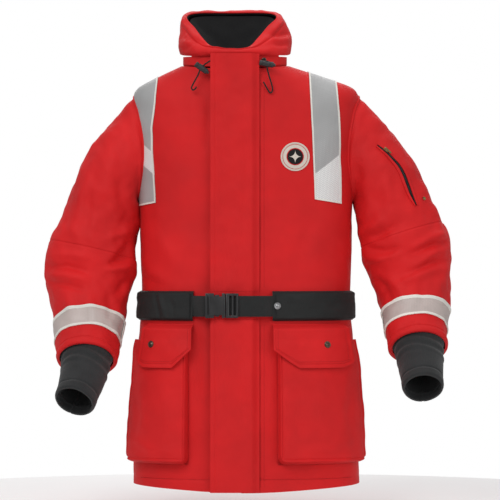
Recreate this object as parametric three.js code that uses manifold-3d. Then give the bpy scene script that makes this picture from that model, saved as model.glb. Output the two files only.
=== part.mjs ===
// A foul weather flotation coat, zipped up and standing in its worn shape, in millimetres.
// +Z is up, the coat's front faces -Y, and the origin is at the neck seam, where it is held up.
// Soft layers are slabs bent onto two kinds of surface: the body of the coat and its sleeves.
import * as THREE from 'three';
import { mergeVertices } from 'three/addons/utils/BufferGeometryUtils.js';
import Module from 'manifold-3d';

const wasm = await Module();
wasm.setup();

// ---- body sizes ----
const BODY_LENGTH = 805;
const SHOULDER_WIDTH = 424;
const CHEST_WIDTH = 402;
const WAIST_WIDTH = 394;
const HEM_WIDTH = 428;
const NECK_WIDTH = 196;
const NECK_SHIFT = -21;
const FRONT_CENTRE_X = -24;
const FRONT_NECK_Y = -97;
const FRONT_HEM_Y = -138;
const BACK_NECK_Y = 48;
const BACK_CHEST_Y = 122;
const BACK_WAIST_Y = 112;
const BACK_HEM_Y = 130;
const BELT_Z = -455;

// ---- layers, measured outward from the shell's inner face ----
const SHELL = 2.4;
const FOAM = 4;
const LINING = 1.6;
const LAYER_GAP = 3.4;
const SEAM_GAP = 0.6;
const TOUCH = 0.35;

// ---- sleeves ----
const SLEEVE_WALL = 6;
const ARMHOLE_HEIGHT = 204;
const ARMHOLE_DEPTH = 108;
const ARMHOLE_Z = -156;
const ARMHOLE_Y = 4;
const ARMHOLE_CLEAR = 1;
const CAP_LIFT = 0.3;
const CAP_SLOPE = { out: 0.62, down: 0.78 };
const ELBOW_GAP = 64;
const WRIST_TAPE_LENGTH = 34;
const WRIST_TAPE = 1.2;
const CUFF_LENGTH = 88;
const CUFF_WALL = 3.5;
const CUFF_CLEAR = 0.5;
const CUFF_OPENING = 76;

// ---- front closing ----
const FLAP_WIDTH = 92;
const FLAP_HINGE_STRIP = 12;
const STRIP_CLEAR = 0.8;
const FLAP_THICKNESS = 3;
const FLAP_STANDOFF = 13;
const FLAP_TOP_Z = 20;
const ZIP_TAPE_WIDTH = 15;
const ZIP_TAPE = 1.4;
const TOOTH = 2.6;
const SLIDER_LENGTH = 15;
const SLIDER_WIDTH = 12;
const SLIDER_TRAVEL = 640;

// ---- belt ----
const BELT_WIDTH = 39;
const BELT_THICKNESS = 2;
const BELT_BACK_LIFT = 3.1;
const KEEPER_WIDTH = 56;
const KEEPER_WALL = 2;
const BUCKLE_WIDTH = 46;
const BUCKLE_LENGTH = 62;
const BUCKLE_THICKNESS = 11;
const BUCKLE_LIFT = 0.7;
const PRONG_WINDOW = 14;

const BELT_SNAP_X = 58;

// ---- pockets ----
const POCKET_TOP_Z = -520;
const POCKET_BOTTOM_Z = -752;
const POCKET_DEPTH = 24;
const POCKET_MOUTH = 13;
const POCKET_WALL = 3;
const POCKET_INNER_X = 83;
const POCKET_OUTER_ANGLE = 78;
const POCKET_FLAP_TOP_Z = -489;
const POCKET_FLAP_BOTTOM_Z = -572;
const POCKET_FLAP_INNER_X = 74;
const POCKET_FLAP_OUTER_ANGLE = 70;
const FLAP_SHOULDER = 11.5;
const POCKET_FLAP = 3;
const SNAP_DIAMETER = 13;
const SNAP_INSET = 42;
const SNAP_OUT = { left: 155, right: 177 };

// ---- trim ----
const TAPE_WIDTH = 47;
const TAPE_THICKNESS = 1;
const SLEEVE_ZIP_TURN = 0.915;
const SLEEVE_ZIP_RUN = [0.42, 1.85];
const SLEEVE_RIVET_TURN = 0.875;
const SLEEVE_RIVET_AT = 1.7;
const RIVET_SCALE = 0.55;
const EYELET_DIAMETER = 9;
const EYELET_SINK = -0.8;
const CORD_DIAMETER = 2.8;
const LOCK_LENGTH = 27;
const LOCK_DIAMETER = 11;
const LOCK_BORE = 4.8;

const group = new THREE.Group();

// ---- colours ----
const RED = { color: 0xcf242a, roughness: 0.72, metalness: 0 };
const DARK_RED = { color: 0xb81f26, roughness: 0.78, metalness: 0 };
const BLACK_CLOTH = { color: 0x141416, roughness: 0.9, metalness: 0 };
const FOAM_GREY = { color: 0x9a9da0, roughness: 0.95, metalness: 0 };
const WEBBING = { color: 0x2d2e2e, roughness: 0.85, metalness: 0 };
const PLASTIC = { color: 0x1c1c1e, roughness: 0.4, metalness: 0 };
const NEOPRENE = { color: 0x373838, roughness: 0.8, metalness: 0 };
const REFLECTIVE = { color: 0xa8a8a8, roughness: 0.45, metalness: 0.1 };
const WRIST_SILVER = { color: 0xc3afaa, roughness: 0.5, metalness: 0.1 };
const BRONZE = { color: 0x4a3f38, roughness: 0.35, metalness: 0.8 };
const CORD_BLACK = { color: 0x1b1614, roughness: 0.85, metalness: 0 };

function addMesh(name, geometry, look) {
  const mesh = new THREE.Mesh(geometry, new THREE.MeshStandardMaterial(look));
  mesh.name = name;
  group.add(mesh);
  return mesh;
}

// ---- solids for cutting and joining ----
function toSolid(geometry) {
  const bare = geometry.index ? geometry.toNonIndexed() : geometry.clone();
  bare.deleteAttribute('normal');
  bare.deleteAttribute('uv');
  const merged = mergeVertices(bare, 1e-4);
  return new wasm.Manifold(new wasm.Mesh({
    numProp: 3,
    vertProperties: new Float32Array(merged.attributes.position.array),
    triVerts: new Uint32Array(merged.index.array),
  }));
}

function toGeometry(solid) {
  const mesh = solid.getMesh();
  const geometry = new THREE.BufferGeometry();
  geometry.setAttribute('position', new THREE.BufferAttribute(mesh.vertProperties, 3));
  geometry.setIndex(new THREE.BufferAttribute(mesh.triVerts, 1));
  geometry.computeVertexNormals();
  return geometry;
}

const cut = (geometry, ...tools) =>
  toGeometry(tools.reduce((solid, tool) => solid.subtract(toSolid(tool)), toSolid(geometry)));
const join = (geometry, ...more) =>
  toGeometry(more.reduce((solid, next) => solid.add(toSolid(next)), toSolid(geometry)));

// ---- the body surface ----
// Rings from the neck to the hem. Each has the height of its side, front and back,
// its width, the y of its front and back, its shift in x and how square it is.
const frontY = (z) => THREE.MathUtils.lerp(FRONT_NECK_Y, FRONT_HEM_Y, -z / BODY_LENGTH);
const ring = (side, front, back, width, backY, shift, square) =>
  ({ side, front, back, half: width / 2, backY, shift, square });
const yoke = THREE.MathUtils.lerp;
const RINGS = [
  ring(0, -6, 8, NECK_WIDTH, BACK_NECK_Y, NECK_SHIFT, 2),
  ring(-22, -42, -22, yoke(NECK_WIDTH, SHOULDER_WIDTH, 0.52), yoke(BACK_NECK_Y, BACK_CHEST_Y, 0.5),
    NECK_SHIFT / 2, 2.1),
  ring(-45, -84, -66, SHOULDER_WIDTH * 0.975, yoke(BACK_NECK_Y, BACK_CHEST_Y, 0.85), 0, 2.3),
  ring(-84, -126, -112, SHOULDER_WIDTH, BACK_CHEST_Y, 0, 2.4),
  ring(-170, -180, -176, (SHOULDER_WIDTH + CHEST_WIDTH) / 2, BACK_CHEST_Y, 0, 2.5),
  ring(-280, -280, -280, CHEST_WIDTH, BACK_CHEST_Y, 0, 2.5),
  ring(-370, -370, -370, (CHEST_WIDTH + WAIST_WIDTH) / 2, (BACK_CHEST_Y + BACK_WAIST_Y) / 2, 0, 2.5),
  ring(BELT_Z, BELT_Z, BELT_Z, WAIST_WIDTH, BACK_WAIST_Y, 0, 2.5),
  ring(-560, -560, -560, (WAIST_WIDTH + HEM_WIDTH) / 2, (BACK_WAIST_Y + BACK_HEM_Y) / 2, 0, 2.5),
  ring(-690, -690, -690, HEM_WIDTH - 8, BACK_HEM_Y, 0, 2.5),
  ring(-BODY_LENGTH, -BODY_LENGTH, -BODY_LENGTH, HEM_WIDTH, BACK_HEM_Y, 0, 2.5),
];
const LAST_RING = RINGS.length - 1;

function spline(a, b, c, d, t) {
  const bend = -a + 3 * b - 3 * c + d;
  const rise = 2 * a - 5 * b + 4 * c - d;
  return 0.5 * (2 * b + (c - a) * t + rise * t * t + bend * t * t * t);
}

function ringAt(v) {
  const low = THREE.MathUtils.clamp(Math.floor(v), 0, LAST_RING - 1);
  const pick = (n) => RINGS[THREE.MathUtils.clamp(n, 0, LAST_RING)];
  const near = [low - 1, low, low + 1, low + 2].map(pick);
  const found = {};
  for (const key of Object.keys(near[0])) {
    found[key] = spline(...near.map((r) => r[key]), v - low);
  }
  return found;
}

// angle 0 is the front, +90 degrees the +X side, 180 the back.
function bodyPoint(angle, v) {
  const r = ringAt(v);
  const s = Math.sin(angle);
  const c = Math.cos(angle);
  const middle = c >= 0 ? r.front : r.back;
  const front = frontY(r.front);
  const deep = (r.backY - front) / 2;
  const reach = (Math.abs(s / r.half) ** r.square + Math.abs(c / deep) ** r.square) ** (-1 / r.square);
  const share = Math.min(1, Math.abs(reach * s / r.half));
  return new THREE.Vector3(
    r.shift + reach * s, (r.backY + front) / 2 - reach * c, middle + (r.side - middle) * share ** 2);
}

function offsetFrom(surface, u, v, distance) {
  const step = 1e-3;
  const here = surface(u, v);
  const along = surface(u + step, v).sub(surface(u - step, v));
  const down = surface(u, v + step).sub(surface(u, v - step));
  return here.addScaledVector(down.cross(along).normalize(), distance);
}

const bodyOffset = (angle, v, distance) => offsetFrom(bodyPoint, angle, v, distance);

// The ring number at a height, along one angle.
function ringNumber(angle, z) {
  let low = 0;
  let high = LAST_RING;
  for (let i = 0; i < 30; i += 1) {
    const middle = (low + high) / 2;
    if (bodyPoint(angle, middle).z > z) low = middle;
    else high = middle;
  }
  return (low + high) / 2;
}

// The angle on the front half at which the body is at an x, at a height.
function angleAt(x, z) {
  let low = -Math.PI / 2;
  let high = Math.PI / 2;
  for (let i = 0; i < 30; i += 1) {
    const middle = (low + high) / 2;
    if (bodyPoint(middle, ringNumber(middle, z)).x < x) low = middle;
    else high = middle;
  }
  return (low + high) / 2;
}

// A box bent so that its x, y and z run along u, v and out of a surface.
function bend(across, down, layers, place) {
  const box = new THREE.BoxGeometry(1, 1, 1, across, down, layers);
  const position = box.attributes.position;
  for (let i = 0; i < position.count; i += 1) {
    const p = place(position.getX(i) + 0.5, 0.5 - position.getY(i), position.getZ(i) + 0.5);
    position.setXYZ(i, p.x, p.y, p.z);
  }
  box.computeVertexNormals();
  return box;
}

const mix = THREE.MathUtils.lerp;
const degrees = THREE.MathUtils.degToRad;

// A slab on the body between edges given as x or angle at each height.
function patch(edges, heights, inner, outer, across, down) {
  return bend(across, down, 1, (s, t, o) => {
    const z = mix(heights[0], heights[1], t);
    const angle = mix(edges[0](z), edges[1](z), s);
    return bodyOffset(angle, ringNumber(angle, z), mix(inner, outer, o));
  });
}

const xEdge = (x) => (z) => angleAt(x, z);
const fixedAngle = (angle) => () => angle;

// ---- torso layers ----
const SIDE_SEAM = degrees(92);
const ZIP_HALF = ZIP_TAPE_WIDTH;
const FIRST_RING = 0.12;
const ARMHOLE_TOOL_LENGTH = 130;
const BODY_ROWS = 12;

function armholeTool(side, grow) {
  const tool = new THREE.CylinderGeometry(1, 1, ARMHOLE_TOOL_LENGTH, 22);
  tool.scale(ARMHOLE_DEPTH / 2 + grow, 1, ARMHOLE_HEIGHT / 2 + grow);
  tool.rotateZ(Math.PI / 2);
  tool.translate(side * (CHEST_WIDTH / 2 + 5), ARMHOLE_Y, ARMHOLE_Z);
  return tool;
}

function frontLayer(side, inner, outer, inset) {
  const gap = ZIP_HALF + SEAM_GAP;
  const near = (v) => angleAt(FRONT_CENTRE_X + side * gap, ringAt(v).front);
  const far = side * SIDE_SEAM;
  const slab = bend(7, BODY_ROWS, 1, (s, t, o) => {
    const v = Math.min(mix(FIRST_RING, LAST_RING, t), LAST_RING - inset / 50);
    const ends = side > 0 ? [near(v), far] : [far, near(v)];
    return bodyOffset(mix(ends[0], ends[1], s), v, mix(inner, outer, o));
  });
  return cut(slab, armholeTool(side, inset));
}

function backLayer(inner, outer, inset) {
  const angle = SIDE_SEAM + SEAM_GAP / 100;
  const slab = bend(12, BODY_ROWS, 1, (s, t, o) => {
    const v = Math.min(mix(FIRST_RING, LAST_RING, t), LAST_RING - inset / 50);
    return bodyOffset(mix(angle, 2 * Math.PI - angle, s), v, mix(inner, outer, o));
  });
  return cut(slab, armholeTool(-1, inset), armholeTool(1, inset));
}

const SIDES = [['left', -1], ['right', 1]];
const foamInner = -LAYER_GAP - FOAM;
const liningInner = foamInner - LAYER_GAP - LINING;

function makeTorso() {
  for (const [word, side] of SIDES) {
    addMesh(`front_panel_${word}`, frontLayer(side, 0, SHELL, 0), RED);
    addMesh(`foam_front_${word}`, frontLayer(side, foamInner, -LAYER_GAP, 6), FOAM_GREY);
    addMesh(`lining_front_${word}`,
      frontLayer(side, liningInner, foamInner - LAYER_GAP, 2), BLACK_CLOTH);
  }
  addMesh('back_panel', backLayer(0, SHELL, 0), RED);
  addMesh('foam_back', backLayer(foamInner, -LAYER_GAP, 6), FOAM_GREY);
  addMesh('lining_back', backLayer(liningInner, foamInner - LAYER_GAP, 2), BLACK_CLOTH);
}

// ---- collar and hood ----
// Rings of the hood, from the neck seam over the bulge to the rim, starting at the throat.
const COLLAR_HEIGHT = 20;
const HOOD_NECK = [
  [-24, -97, 20], [20, -92, 20], [52, -74, 20], [74, -35, 21], [78, 8, 24], [52, 38, 27],
  [-22, 52, 29], [-94, 38, 27], [-119, 8, 24], [-116, -35, 21], [-96, -74, 20], [-66, -92, 20]];
const HOOD_BULGE = [
  [-26, -106, 23], [22, -101, 24], [60, -74, 28], [82, -30, 40], [84, 22, 72], [64, 66, 100],
  [-24, 84, 104], [-112, 66, 98], [-126, 22, 70], [-130, -30, 46], [-116, -74, 30], [-72, -100, 24]];
const HOOD_RIM = [
  [-30, -96, 27], [3, -90, 32], [20, -70, 50], [38, -40, 72], [54, -2, 88], [36, 34, 96],
  [-26, 44, 98], [-88, 34, 96], [-110, -2, 88], [-94, -40, 68], [-80, -68, 50], [-64, -88, 34]];
const HOOD_WALL = 5;

const closedCurve = (points) =>
  new THREE.CatmullRomCurve3(points.map((p) => new THREE.Vector3(...p)), true, 'centripetal');
const hoodCurves = [HOOD_NECK, HOOD_BULGE, HOOD_RIM].map(closedCurve);

function hoodPoint(u, v) {
  const turn = THREE.MathUtils.euclideanModulo(u, 1);
  const [low, middle, high] = hoodCurves.map((curve) => curve.getPoint(turn));
  const a = low.multiplyScalar((1 - v) * (1 - v));
  const control = middle.multiplyScalar(2 * v * (1 - v) * 1.25);
  const b = high.multiplyScalar(v * v);
  const sum = (1 - v) ** 2 + 2.5 * v * (1 - v) + v * v;
  return a.add(control).add(b).divideScalar(sum);
}

// A ring of four-sided section swept once round: u goes round, v along, o outward.
function hoop(around, profile, place) {
  const points = profile.map(([v, o]) => new THREE.Vector2(10 + o, v));
  const lathe = new THREE.LatheGeometry([...points, points[0].clone()], around);
  const position = lathe.attributes.position;
  for (let i = 0; i < position.count; i += 1) {
    const x = position.getX(i);
    const z = position.getZ(i);
    const turn = Math.round(Math.atan2(x, z) / (2 * Math.PI) * around) / around;
    const p = place(THREE.MathUtils.euclideanModulo(turn, 1), position.getY(i), Math.hypot(x, z) - 10);
    position.setXYZ(i, p.x, p.y, p.z);
  }
  return toGeometry(outward(toSolid(lathe)));
}

// A closed mesh whose faces point in is turned inside out.
function outward(solid) {
  if (solid.volume() >= 0) return solid;
  const mesh = solid.getMesh();
  const flipped = new Uint32Array(mesh.triVerts);
  for (let i = 0; i < flipped.length; i += 3) {
    [flipped[i], flipped[i + 1]] = [flipped[i + 1], flipped[i]];
  }
  return new wasm.Manifold(new wasm.Mesh({
    numProp: 3, vertProperties: mesh.vertProperties, triVerts: flipped,
  }));
}

// The section of a wall with rows along its length: out along one face and back along the other.
function wallProfile(from, to, rows, inner, outer) {
  const steps = [...Array(rows + 1).keys()].map((i) => mix(from, to, i / rows));
  return [...steps.map((v) => [v, outer]), ...steps.reverse().map((v) => [v, inner])];
}

function makeCollar() {
  const half = ZIP_HALF + SEAM_GAP;
  const start = angleAt(FRONT_CENTRE_X + half, -6);
  const end = angleAt(FRONT_CENTRE_X - half, -6) + 2 * Math.PI;
  const collar = bend(22, 2, 1, (s, t, o) => {
    const angle = mix(start, end, s);
    const foot = bodyOffset(angle, 0, mix(-SLEEVE_WALL + SHELL, SHELL, o));
    const top = COLLAR_HEIGHT - 2 - 3 * Math.cos(angle);
    return foot.setZ(mix(top, foot.z + 1.2, t));
  });
  addMesh('collar', collar, RED);
  const loopCurve = new THREE.CatmullRomCurve3([
    [-46, 41.4, 6], [-44, 34, 0], [-36, 27, -13], [-21, 25, -19], [-6, 27, -13], [2, 34, 0], [4, 41.4, 6],
  ].map((p) => new THREE.Vector3(...p)));
  addMesh('hanger_loop', tube(loopCurve, 4, 8, 16), BLACK_CLOTH);
}

function tube(path, diameter, sides, steps) {
  const section = new THREE.Shape();
  for (let i = 0; i < sides; i += 1) {
    const turn = 2 * Math.PI * i / sides;
    const method = i === 0 ? 'moveTo' : 'lineTo';
    section[method](diameter / 2 * Math.cos(turn), diameter / 2 * Math.sin(turn));
  }
  section.closePath();
  return new THREE.ExtrudeGeometry(section, { steps, bevelEnabled: false, extrudePath: path });
}

const BAG_WIDTH = 178;
const BAG_HEIGHT = 205;
const BAG_DEPTH = 34;
const BAG_TOP_Z = 84;
const BAG_Y = 71.6;
const BAG_LEAN = 16;

function makeHood() {
  const place = (u, v, o) => offsetFrom(hoodPoint, u, v, o);
  addMesh('hood_cowl', hoop(36, wallProfile(0.04, 0.98, 5, -HOOD_WALL, 0), place), RED);
  const cup = [[0, -BAG_HEIGHT], [0.7, -BAG_HEIGHT + 12], [1, -BAG_HEIGHT + 70], [0.92, 0],
    [0.82, 0], [0.88, -BAG_HEIGHT + 72], [0.6, -BAG_HEIGHT + 20], [0, -BAG_HEIGHT + 10]];
  const bag = new THREE.LatheGeometry(cup.map((p) => new THREE.Vector2(...p)), 24);
  bag.scale(BAG_WIDTH / 2, 1, BAG_DEPTH / 2);
  bag.rotateX(Math.PI / 2 + degrees(BAG_LEAN));
  bag.translate(NECK_SHIFT, BAG_Y + BAG_DEPTH / 2, BAG_TOP_Z);
  addMesh('hood_bag', toGeometry(outward(toSolid(bag))), RED);
}

// ---- front closing ----
const flapLeft = FRONT_CENTRE_X - FLAP_WIDTH / 2 + 3;
const flapRight = flapLeft + FLAP_WIDTH;

// The front closing is straight from throat to hem, so its parts are plain boxes tilted alike.
const frontTilt = Math.atan2(FRONT_NECK_Y - FRONT_HEM_Y, BODY_LENGTH);
const closing = new THREE.Group();
closing.position.set(FRONT_CENTRE_X, FRONT_NECK_Y, 0);
closing.rotation.x = -frontTilt;
group.add(closing);

function box(size, at) {
  const [w, d, h] = size;
  return new THREE.BoxGeometry(w, d, h).translate(...at);
}

function addClosing(name, geometry, look) {
  const mesh = addMesh(name, geometry, look);
  closing.add(mesh);
  return mesh;
}

const closingLength = BODY_LENGTH / Math.cos(frontTilt);
const zipTop = 2;
const zipBottom = 16 - closingLength;
const tapeFront = -SHELL;

function zipTape(side) {
  const tall = zipTop - zipBottom;
  const middle = (zipTop + zipBottom) / 2;
  const x = side * (ZIP_TAPE_WIDTH / 2 + 1);
  const tape = box([ZIP_TAPE_WIDTH - 2.6, ZIP_TAPE, tall], [x, tapeFront + ZIP_TAPE / 2, middle]);
  const coil = box([TOOTH, TOOTH, tall - 6], [side * (TOOTH / 2 + 0.3), tapeFront - 0.4, middle]);
  return join(tape, coil);
}

function makeClosing() {
  addClosing('zip_tape_left', zipTape(-1), BLACK_CLOTH);
  addClosing('zip_tape_right', zipTape(1), BLACK_CLOTH);
  const sliderY = tapeFront - 3.8;
  const sliderZ = -18;
  const slider = join(
    box([SLIDER_WIDTH, 3, SLIDER_LENGTH], [0, sliderY, sliderZ]),
    box([4, 3, 6], [0, sliderY - 2.2, sliderZ + 2]));
  addClosing('zip_slider', slider, BRONZE);
  const pullTop = sliderZ - 1.85;
  addClosing('zip_pull', box([4, 1.2, 26], [0, sliderY - 2.6, pullTop - 13]), BRONZE);
  const left = flapLeft - FRONT_CENTRE_X;
  const right = flapRight - FRONT_CENTRE_X;
  const flapTall = closingLength + FLAP_TOP_Z;
  const flapMiddle = (FLAP_TOP_Z - closingLength) / 2;
  const flapY = -FLAP_STANDOFF - FLAP_THICKNESS / 2;
  const hingeX = right - FLAP_HINGE_STRIP;
  const flapWide = hingeX - SEAM_GAP - left;
  const pieces = [
    ['storm_flap_upper', FLAP_TOP_Z, BELT_Z + KEEPER_WIDTH / 2 + 6],
    ['storm_flap_middle', BELT_Z + KEEPER_WIDTH / 2 + 5, BELT_Z - KEEPER_WIDTH / 2 - 5],
    ['storm_flap_lower', BELT_Z - KEEPER_WIDTH / 2 - 6, 1 - closingLength],
  ];
  for (const [name, top, bottom] of pieces) {
    addClosing(name, box([flapWide, FLAP_THICKNESS, top - bottom],
      [left + flapWide / 2, flapY, (top + bottom) / 2]), RED);
  }
  addClosing('storm_flap_strip',
    box([FLAP_HINGE_STRIP, FLAP_STANDOFF + FLAP_THICKNESS - SHELL - STRIP_CLEAR, flapTall - 26],
      [right - FLAP_HINGE_STRIP / 2,
        -(FLAP_STANDOFF + FLAP_THICKNESS + SHELL + STRIP_CLEAR) / 2, flapMiddle - 12]), RED);
}

// ---- pockets ----
const pocketInner = SHELL + 1.6;

// A pocket is a bellows: shallow at its mouth and full depth lower down.
function pocketReach(z) {
  const share = THREE.MathUtils.clamp((POCKET_TOP_Z - z) / (POCKET_TOP_Z - POCKET_BOTTOM_Z), 0, 1);
  return mix(POCKET_MOUTH, POCKET_DEPTH, share ** 0.7);
}

// A slab between two edges whose inner and outer offsets vary with the height.
function varyingPatch(edges, heights, inner, outer, across, down) {
  return bend(across, down, 1, (s, t, o) => {
    const z = mix(heights[0], heights[1], t);
    const angle = mix(edges[0](z), edges[1](z), s);
    return bodyOffset(angle, ringNumber(angle, z), mix(inner(z), outer(z), o));
  });
}

const inOrder = (side, near, away) => (side > 0 ? [near, away] : [away, near]);

function makePocket(word, side) {
  const near = xEdge(FRONT_CENTRE_X + side * POCKET_INNER_X);
  const far = degrees(POCKET_OUTER_ANGLE) * side;
  const inset = POCKET_WALL / 170;
  const outside = varyingPatch(inOrder(side, near, fixedAngle(far)), [POCKET_TOP_Z, POCKET_BOTTOM_Z],
    () => pocketInner, (z) => pocketInner + pocketReach(z), 6, 5);
  const hollow = varyingPatch(
    inOrder(side, (z) => near(z) + side * inset, fixedAngle(far - side * inset)),
    [POCKET_TOP_Z + 10, POCKET_BOTTOM_Z + POCKET_WALL],
    () => pocketInner + POCKET_WALL / 2, (z) => pocketInner + pocketReach(z) - POCKET_WALL, 6, 5);
  addMesh(`pocket_${word}`, cut(outside, hollow), RED);
  const flapNear = xEdge(FRONT_CENTRE_X + side * POCKET_FLAP_INNER_X);
  const flapFar = fixedAngle(degrees(POCKET_FLAP_OUTER_ANGLE) * side);
  const over = (z) => mix(SHELL + 1.2, pocketInner + pocketReach(z) + 1.6,
    Math.min(1, (POCKET_FLAP_TOP_Z - z) / FLAP_SHOULDER));
  addMesh(`pocket_flap_${word}`, varyingPatch(inOrder(side, flapNear, flapFar),
    [POCKET_FLAP_TOP_Z, POCKET_FLAP_BOTTOM_Z], over, (z) => over(z) + POCKET_FLAP, 6, 7), RED);
  const snapZ = POCKET_FLAP_BOTTOM_Z + SNAP_INSET;
  const snapX = FRONT_CENTRE_X + side * SNAP_OUT[word];
  const angle = angleAt(snapX, snapZ);
  const seat = bodyOffset(angle, ringNumber(angle, snapZ), over(snapZ) + POCKET_FLAP + TOUCH);
  const out = seat.clone().sub(bodyOffset(angle, ringNumber(angle, snapZ), 0)).normalize();
  addMesh(`pocket_snap_${word}`, button(seat, out), BRONZE);
}

// A snap's domed cap, standing on a point and facing outward.
function button(seat, out, scale = 1) {
  const r = SNAP_DIAMETER / 2;
  const profile = [[0, 0], [r, 0], [r, 1.2], [r * 0.8, 2.4], [r * 0.35, 3], [0, 3]];
  const cap = new THREE.LatheGeometry(profile.map((p) => new THREE.Vector2(...p)), 14);
  const turn = new THREE.Quaternion().setFromUnitVectors(new THREE.Vector3(0, 1, 0), out);
  cap.scale(scale, scale, scale);
  cap.applyQuaternion(turn);
  cap.translate(seat.x, seat.y, seat.z);
  return toGeometry(outward(toSolid(cap)));
}

// ---- belt ----
const keeperInner = SHELL + 2;
const beltLift = keeperInner + KEEPER_WALL + 0.8;

// A band round the body at the belt's height, between two angles.
function band(angles, halfHeight, inner, outer, across, middle = BELT_Z) {
  return bend(across, 1, 1, (s, t, o) => {
    const angle = mix(angles[0], angles[1], s);
    const z = middle + mix(halfHeight, -halfHeight, t);
    return bodyOffset(angle, ringNumber(angle, z), mix(inner, outer, o));
  });
}

const buckleLeft = -76;
const buckleRight = buckleLeft + BUCKLE_LENGTH + 5;
const leftKeeper = [degrees(-84), angleAt(-97, BELT_Z)];
const rightKeeper = [angleAt(49, BELT_Z), degrees(84)];

// A keeper is a flat tube of cloth stitched to the coat, through which the belt runs.
const keeperOuter = keeperInner + 2 * KEEPER_WALL + BELT_THICKNESS + 1.6;

function keeper(angles) {
  const body = band(angles, KEEPER_WIDTH / 2, keeperInner, keeperOuter, 8);
  const reach = degrees(2);
  const way = band([angles[0] - reach, angles[1] + reach], BELT_WIDTH / 2 + 1.4,
    keeperInner + KEEPER_WALL, keeperOuter - KEEPER_WALL, 8);
  return cut(body, way);
}

function makeBelt() {
  addMesh('belt_keeper_left', keeper(leftKeeper), WEBBING);
  addMesh('belt_keeper_right', keeper(rightKeeper), WEBBING);
  const run = [SHELL + BELT_BACK_LIFT, SHELL + BELT_BACK_LIFT + BELT_THICKNESS];
  addMesh('belt_back', band([degrees(87), degrees(273)], BELT_WIDTH / 2, ...run, 18), WEBBING);
  const leftMouth = leftKeeper[1] + degrees(0.6);
  const rightMouth = rightKeeper[0] - degrees(0.6);
  addMesh('belt_end_left', beltEnd(leftMouth, buckleLeft - TOUCH, 1), WEBBING);
  addMesh('belt_end_right', beltEnd(rightMouth, buckleLeft + BUCKLE_LENGTH + 2 * TOUCH, 0.34),
    WEBBING);
  const snapAngle = angleAt(BELT_SNAP_X, BELT_Z);
  const ring = ringNumber(snapAngle, BELT_Z);
  const seat = bodyOffset(snapAngle, ring, keeperOuter + TOUCH);
  const out = seat.clone().sub(bodyOffset(snapAngle, ring, 0)).normalize();
  addMesh('belt_snap', button(seat, out), BRONZE);
  makeBuckle();
}

// The belt's front parts lie flat in front of the storm flap, tilted as it is.
function makeBuckle() {
  const flapFront = FLAP_STANDOFF + FLAP_THICKNESS;
  const beltY = flapFront + BUCKLE_THICKNESS / 2 + BUCKLE_LIFT;
  const middle = BELT_Z / Math.cos(frontTilt);
  const at = (x) => [x - FRONT_CENTRE_X, -beltY, middle];
  const bodyLength = BUCKLE_LENGTH * 0.6;
  const noseLength = BUCKLE_LENGTH - bodyLength;
  const femaleX = buckleLeft + bodyLength / 2;
  const shell = box([bodyLength, BUCKLE_THICKNESS, BUCKLE_WIDTH], at(femaleX));
  const mouth = box([bodyLength - 8, BUCKLE_THICKNESS - 4, BUCKLE_WIDTH - 10], at(femaleX + 5));
  const windows = [-1, 1].map((side) => box([PRONG_WINDOW, BUCKLE_THICKNESS - 3, 12],
    [femaleX + 4 - FRONT_CENTRE_X, -beltY, middle + side * BUCKLE_WIDTH / 2]));
  addClosing('buckle_female', cut(shell, mouth, ...windows), PLASTIC);
  const seam = buckleLeft + bodyLength + TOUCH;
  const block = box([noseLength, BUCKLE_THICKNESS, BUCKLE_WIDTH], at(seam + noseLength / 2));
  const prongs = [-1, 0, 1].map((n) => box([bodyLength - 12, BUCKLE_THICKNESS - 5.4, 5.5],
    [seam - (bodyLength - 12) / 2 + 1 - FRONT_CENTRE_X, -beltY, middle + n * (BUCKLE_WIDTH / 2 - 9)]));
  addClosing('buckle_male', join(block, ...prongs), PLASTIC);
}

// A belt end runs from the keeper's mouth out to the buckle's own plane.
function beltEnd(fromAngle, toX, climb) {
  const target = new THREE.Vector3(toX - FRONT_CENTRE_X,
    -(FLAP_STANDOFF + FLAP_THICKNESS + BUCKLE_THICKNESS / 2 + BUCKLE_LIFT), BELT_Z / Math.cos(frontTilt));
  closing.updateMatrix();
  const end = target.applyMatrix4(closing.matrix);
  const strip = bend(9, 1, 1, (s, t, o) => {
    const start = bodyOffset(fromAngle, ringNumber(fromAngle, BELT_Z), beltLift + BELT_THICKNESS / 2);
    const eased = THREE.MathUtils.smoothstep(s, 0, climb);
    const p = new THREE.Vector3(mix(start.x, end.x, s), mix(start.y, end.y, eased), BELT_Z);
    p.z += mix(BELT_WIDTH / 2, -BELT_WIDTH / 2, t);
    p.y -= mix(-BELT_THICKNESS / 2, BELT_THICKNESS / 2, o);
    return p;
  });
  return toGeometry(outward(toSolid(strip)));
}

// ---- sleeves ----
// Each sleeve follows a curve through stations: middle, width across the arm and depth along Y.
const station = (x, y, z, width, depth) => ({ middle: new THREE.Vector3(x, y, z), width, depth });
const SLEEVES = {
  left: [
    station(-272, 2, -250, 134, 150), station(-287, -3, -318, 152, 156),
    station(-296, -10, -386, 170, 158), station(-299, -34, -446, 144, 136),
    station(-300, -74, -511, 122, 116), station(-303, -112, -556, 108, 104),
  ],
  right: [
    station(278, 2, -236, 136, 150), station(298, -3, -292, 150, 156),
    station(314, -10, -352, 164, 158), station(322, -36, -420, 136, 134),
    station(327, -76, -490, 114, 112), station(330, -112, -533, 104, 102),
  ],
};
const CUFF_ENDS = { left: [-321, -182, -631], right: [333, -182, -606] };
const UPPER_END = 1.55;
const LOWER_START = 2.35;
const LAST_STATION = 5;

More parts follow.
